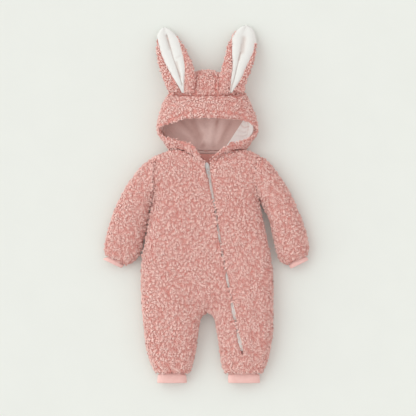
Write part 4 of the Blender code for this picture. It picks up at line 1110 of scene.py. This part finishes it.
# shade is painted: a positive one darkens a crease, a negative one paints a ridge paler
FOLDS = {
    "ear_plush_right": [
        Fold([(-57, 283), (-61, 297), (-66, 314), (-72, 331), (-79, 350), (-84, 369), (-90, 388), (-95, 406)],
             1.5, -2.6, 0.45),
        Fold([(-61, 303), (-66, 320), (-70, 338)], 3.4, -2.0, 0.4),
        Fold([(-87, 372), (-92, 390), (-96, 404)], 3.6, -1.8, 0.3),
        Fold([(-71, 349), (-62, 354)], 1.6, -1.2, 0.2),
    ],
    "ear_plush_left": [
        Fold([(59, 267), (62, 283), (67, 297), (71, 314), (75, 331), (79, 348), (82, 362)], 1.4, -2.4, 0.45),
        Fold([(87, 366), (90, 382), (92, 398)], 6.0, -2.6, 0.5),
        Fold([(79, 345), (84, 362)], 3.4, -1.6, 0.3),
        Fold([(84, 372), (85, 384)], 2.0, -0.8, 0.2),
    ],
    "hood_lining": [
        Fold([(27, 204), (22, 180), (17, 139)], 1.3, -0.2, 0.5),
        Fold([(12, 205), (11, 180), (6, 150)], 8, 3.0, -0.3),
        Fold([(40, 205), (35, 180), (27, 150)], 6, 2.4, -0.22),
        Fold([(-33, 200), (-22, 172), (-8, 142)], 5, 0.0, 0.3),
        Fold([(-17, 203), (-8, 176), (-3, 150)], 5, 2.0, -0.2),
        Fold([(-75, 190), (-48, 168), (-22, 146)], 7, 1.6, -0.1),
        Fold([(58, 196), (46, 172), (34, 150)], 5, 0.0, 0.25),
        Fold([(-60, 200), (-40, 180), (-20, 150)], 5, 0.0, 0.2),
    ],
    "hood_facing_left": [
        Fold([(76, 178), (92, 174), (104, 180)], 2.0, 1.0, 0.15),
        Fold([(70, 166), (86, 164), (98, 168)], 2.0, 0.8, 0.1),
        Fold([(84, 190), (92, 184), (103, 187)], 1.6, 0.0, 0.4),
        Fold([(100, 200), (101, 185), (100, 172)], 1.4, 0.6, 0.3),
    ],
}
print("folds", {node: len(folds) for node, folds in FOLDS.items()})

# %% [markdown]
# ## Laying a cloth in its folds
# One function moves the points of a cloth and keeps the shade. The plush of the ears also grows a
# little to its sides, because it bulges out of its seam, and the zip tapes bulge in the openings.

# %% Laying a cloth in its folds
PLUSH_GROWTH = 1.6 * MM
TAPE_SPREAD = 4.5 * MM


def fold_cloth(mesh, node):
    """Moves the upper skin by the node's folds and keeps their shade as a number on each point."""
    points, normals = points_and_normals(mesh)
    rise, shade = np.zeros(len(points)), np.zeros(len(points))
    for fold in FOLDS.get(node, ()):
        near = bell(distance_to(fold.plan, points), fold.width)
        rise += fold.rise * MM * near
        shade += fold.shade * near
    if node.startswith("zip_tape"):
        rise = zip_rise(points[:, 1]) * bell(distance_to(zip_plan, points) * MM, TAPE_SPREAD)
    if node.startswith("ear_plush"):
        points += normals * (1, 1, 0) * PLUSH_GROWTH
        rise = np.where(normals[:, 2] > UPPER_SIDE, rise, 0)
    points[:, 2] += rise
    set_points(mesh, points)
    mesh.attributes.new("shade", "FLOAT", "POINT").data.foreach_set("value", shade.astype(np.float32))


print("tapes bulge up to mm", max(rise for _, rise in ZIP_RISE))

# %% [markdown]
# ## Ear plush, lining, facings, tape and cuffs
# These cloths have no long pile. Each is its solid made finer, in a finish: the more it is folded, the more
# levels it needs. The facing on the romper's right lies in the shade of the hood's edge and takes the
# lining's darker finish, a painted shade. At and below the corners of the hood's face opening the facings
# show their reverse, which is the back of the fleece, so a second finish takes those faces.

# %% Smooth cloths
SmoothCloth = namedtuple("SmoothCloth", "node finish slot levels")
SMOOTH = [
    SmoothCloth("ear_plush_right", plush_finish, "white_plush", 3),
    SmoothCloth("ear_plush_left", plush_finish, "white_plush", 3),
    SmoothCloth("hood_lining", lining_finish, "hood_lining", 3),
    # painted shade: this facing takes the lining's darker finish because it lies in the hood's shade
    SmoothCloth("hood_facing_right", lining_finish, "cream_facing", 2),
    SmoothCloth("hood_facing_left", facing_finish, "cream_facing", 4),
    SmoothCloth("neck_tape", lining_finish, "hood_lining", 1),
    *(SmoothCloth(cuff, knit_finish, "smooth_knit", 2) for cuff in CUFF_NODES),
    *(SmoothCloth(f"zip_tape_{side}", tape_finish, "zip_tape", 1) for side in ("right", "left")),
]

SEAM_Y = 139 * MM


def is_reverse(face):
    """True for the faces of a facing below the corner, and beside it for those that look outwards."""
    x, y = face.center.xy
    return y < SEAM_Y or y < CORNER_Y[1] and face.normal.x * x > 0


cloths = {}
for made in SMOOTH:
    mesh = finer(mesh_of(made.node), f"cloth_{made.node}", made.levels)
    fold_cloth(mesh, made.node)
    piece = add_piece(f"cloth_{made.node}", mesh, made.finish)
    if made.node.startswith("hood_facing"):
        mesh.materials.append(ground_finish.material)
        second = np.array([is_reverse(face) for face in mesh.polygons], np.int32)
        mesh.polygons.foreach_set("material_index", second)
    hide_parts(made.node)
    cloths[made.node] = piece
    print(made.node, len(mesh.polygons), "faces")

# %% [markdown]
# ## Zip metal
# The slider and the pull keep their solids and get a worn, cast metal. They stay two nodes,
# because the pull turns on the slider.

# %% Zip metal
for node in METAL_NODES:
    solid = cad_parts[node].data
    solid.materials.clear()
    solid.materials.append(metal_finish.material)
    print(node, len(solid.polygons), "faces")

# %% [markdown]
# ## Zip coil
# A coil zip closes with two rows of nylon loops that hook into each other over the gap between
# the tapes. Each loop is a small rounded brick across the zip, and every second one sits a little
# to the other side. They are worked out as one array along the line between the tapes.

# %% Zip coil
COIL_PITCH = 1.5 * MM
COIL_TOP = 78 * MM  # the slider covers the coil from here on
LOOP_HALF = np.array([1.5, 0.5, 0.55]) * MM
LOOP_SHIFT = 0.35 * MM
LOOP_LIFT = 0.75 * MM
LOOP_TOP = 0.7  # a loop narrows to this share at its top
FIRST_LOOP = 1.5 * MM
BRICK_FACES = np.array([(0, 2, 3, 1), (4, 5, 7, 6), (0, 1, 5, 4), (2, 6, 7, 3), (0, 4, 6, 2), (1, 3, 7, 5)])

coil_finish = Finish("zip_coil", Roughness=0.42)
speck = coil_finish.noise(1.3 * MM, 2)
coil_finish.colour(coil_finish.mix(speck, linear(238, 234, 228), linear(250, 248, 244)))
coil_finish.bump(speck, 0.08 * MM)
coil_finish.rough(0.36 + 0.2 * speck)

steps = np.linalg.norm(np.diff(zip_line, axis=0), axis=1)
run = np.concatenate([[0], np.cumsum(steps)])
stations = np.arange(FIRST_LOOP, np.interp(COIL_TOP, zip_line[:, 1], run), COIL_PITCH)
centres = np.stack([np.interp(stations, run, zip_line[:, k]) for k in range(3)], axis=1)
centres[:, 2] += zip_rise(centres[:, 1]) + LOOP_LIFT
ahead = unit(np.gradient(centres, axis=0))
across = unit(np.cross(ahead, (0, 0, 1.0)))
upward = np.cross(across, ahead)
centres += across * (LOOP_SHIFT * (-1.0) ** np.arange(len(centres)))[:, None]
brick = np.array([(x, y, z) for z in (-1, 1) for y in (-1, 1) for x in (-1, 1)], float)
brick[brick[:, 2] > 0, :2] *= LOOP_TOP
axes = np.stack([across, ahead, upward], axis=1)
loop_points = centres[:, None] + np.einsum("bk,nkd->nbd", brick * LOOP_HALF, axes)
loop_faces = (BRICK_FACES[None] + (np.arange(len(centres)) * len(brick))[:, None, None]).reshape(-1, 4)
coil_mesh = joined("zip_coil", loop_points.reshape(-1, 3), loop_faces, np.zeros((0, 3), int))
add_piece("zip_coil", coil_mesh, coil_finish)
print("loops", len(centres))

# %% [markdown]
# ## Binding at the top of the zip
# The raw edge at the top of the zip is bound with a narrow dark red tape. Only a short piece of
# it shows, as a fine line that ends at the slider.

# %% Binding at the top of the zip
BINDING_PLAN = [(-14, 113), (-10.5, 110), (-7, 107.2), (-4.5, 105.4), (-2.8, 104)]
BINDING_HALF = 0.8 * MM
BINDING_SIDES = 8
ABOVE = Vector((0, 0, 200 * MM))  # rays start this high and look down on the cloth

binding_finish = Finish("binding_red", Roughness=0.85)
weave = binding_finish.noise(0.7 * MM, 2)
binding_finish.colour(binding_finish.mix(weave, linear(128, 48, 44), linear(168, 76, 68)))
binding_finish.bump(weave, 0.15 * MM)
binding_finish.rough(0.8 + 0.1 * weave)

middles = [whole_tree.ray_cast(Vector((x * MM, y * MM, 0)) + ABOVE, -ABOVE)[0] + Vector((0, 0, BINDING_HALF))
           for x, y in BINDING_PLAN]
binding_points = []
for k, middle in enumerate(middles):
    way = (middles[min(k + 1, len(middles) - 1)] - middles[max(k - 1, 0)]).normalized()
    flat_side = way.cross(Vector((0, 0, 1))).normalized()
    for turn in np.linspace(0, 2 * math.pi, BINDING_SIDES, endpoint=False):
        offset = flat_side * math.cos(turn) + flat_side.cross(way) * math.sin(turn)
        binding_points.append(middle + offset * BINDING_HALF)
binding_faces = [(k * BINDING_SIDES + i, k * BINDING_SIDES + (i + 1) % BINDING_SIDES,
                  (k + 1) * BINDING_SIDES + (i + 1) % BINDING_SIDES, (k + 1) * BINDING_SIDES + i)
                 for k in range(len(middles) - 1) for i in range(BINDING_SIDES)]
binding_faces += [tuple(range(BINDING_SIDES))[::-1],
                  tuple(range(len(binding_points) - BINDING_SIDES, len(binding_points)))]
binding_mesh = bpy.data.meshes.new("neck_binding")
binding_mesh.from_pydata([tuple(p) for p in binding_points], [], binding_faces)
add_piece("neck_binding", binding_mesh, binding_finish)
print("binding at height mm", [round(m.z / MM, 1) for m in middles])

# %% [markdown]
# ## Cut sizes
# Every cloth has a row with the size it is cut to and with what it lies on, and a shaped piece also its flat
# area. The cut area is printed beside the area of the made piece. The pile is no cloth of its own, so it has
# no row.

# %% Cut sizes
Cut = namedtuple("Cut", "width length area rests")
CUTS = {
    "back": Cut(0.345, 0.560, 0.1580, ["table"]),
    "front_right": Cut(0.262, 0.560, 0.0985, ["fleece_back"]),
    "front_left": Cut(0.175, 0.560, 0.0580, ["fleece_back"]),
    "sleeve_right": Cut(0.195, 0.265, 0.0405, ["table"]),
    "sleeve_left": Cut(0.195, 0.265, 0.0400, ["table"]),
    "hood_back": Cut(0.300, 0.260, 0.0530, ["table"]),
    "hood_front": Cut(0.300, 0.170, 0.0265, ["fleece_hood_back"]),
    "ear_back_right": Cut(0.100, 0.180, 0.0122, ["fleece_hood_back", "table"]),
    "ear_back_left": Cut(0.100, 0.180, 0.0122, ["fleece_hood_back", "table"]),
    "ear_plush_right": Cut(0.065, 0.165, 0.0066, ["fleece_ear_back_right"]),
    "ear_plush_left": Cut(0.065, 0.165, 0.0066, ["fleece_ear_back_left"]),
    "hood_lining": Cut(0.290, 0.250, 0.0545, ["fleece_hood_back"]),
    "hood_facing_right": Cut(0.060, 0.080, 0.0021, ["cloth_hood_lining"]),
    "hood_facing_left": Cut(0.075, 0.105, 0.0046, ["cloth_hood_lining"]),
    "neck_tape": Cut(0.110, 0.010, 0.0008, ["fleece_back"]),
    "cuff_sleeve_right": Cut(0.105, 0.021, 0.0021, ["table"]),
    "cuff_sleeve_left": Cut(0.105, 0.021, 0.0021, ["table"]),
    "cuff_leg_right": Cut(0.170, 0.033, 0.0051, ["table"]),
    "cuff_leg_left": Cut(0.175, 0.033, 0.0055, ["table"]),
    "zip_tape_right": Cut(0.011, 0.457, 0.0049, ["fleece_front_right"]),
    "zip_tape_left": Cut(0.011, 0.457, 0.0049, ["fleece_front_left"]),
}


def half_area(piece):
    return sum(face.area for face in piece.data.polygons) / 2


for node, cut in CUTS.items():
    piece = grounds[node].piece if node in grounds else cloths[node]
    rides_along = [piles[node]] if node in piles else []
    print(node, "cut", cut.area, "made", round(half_area(piece), 4), "square metres")

# %% [markdown]
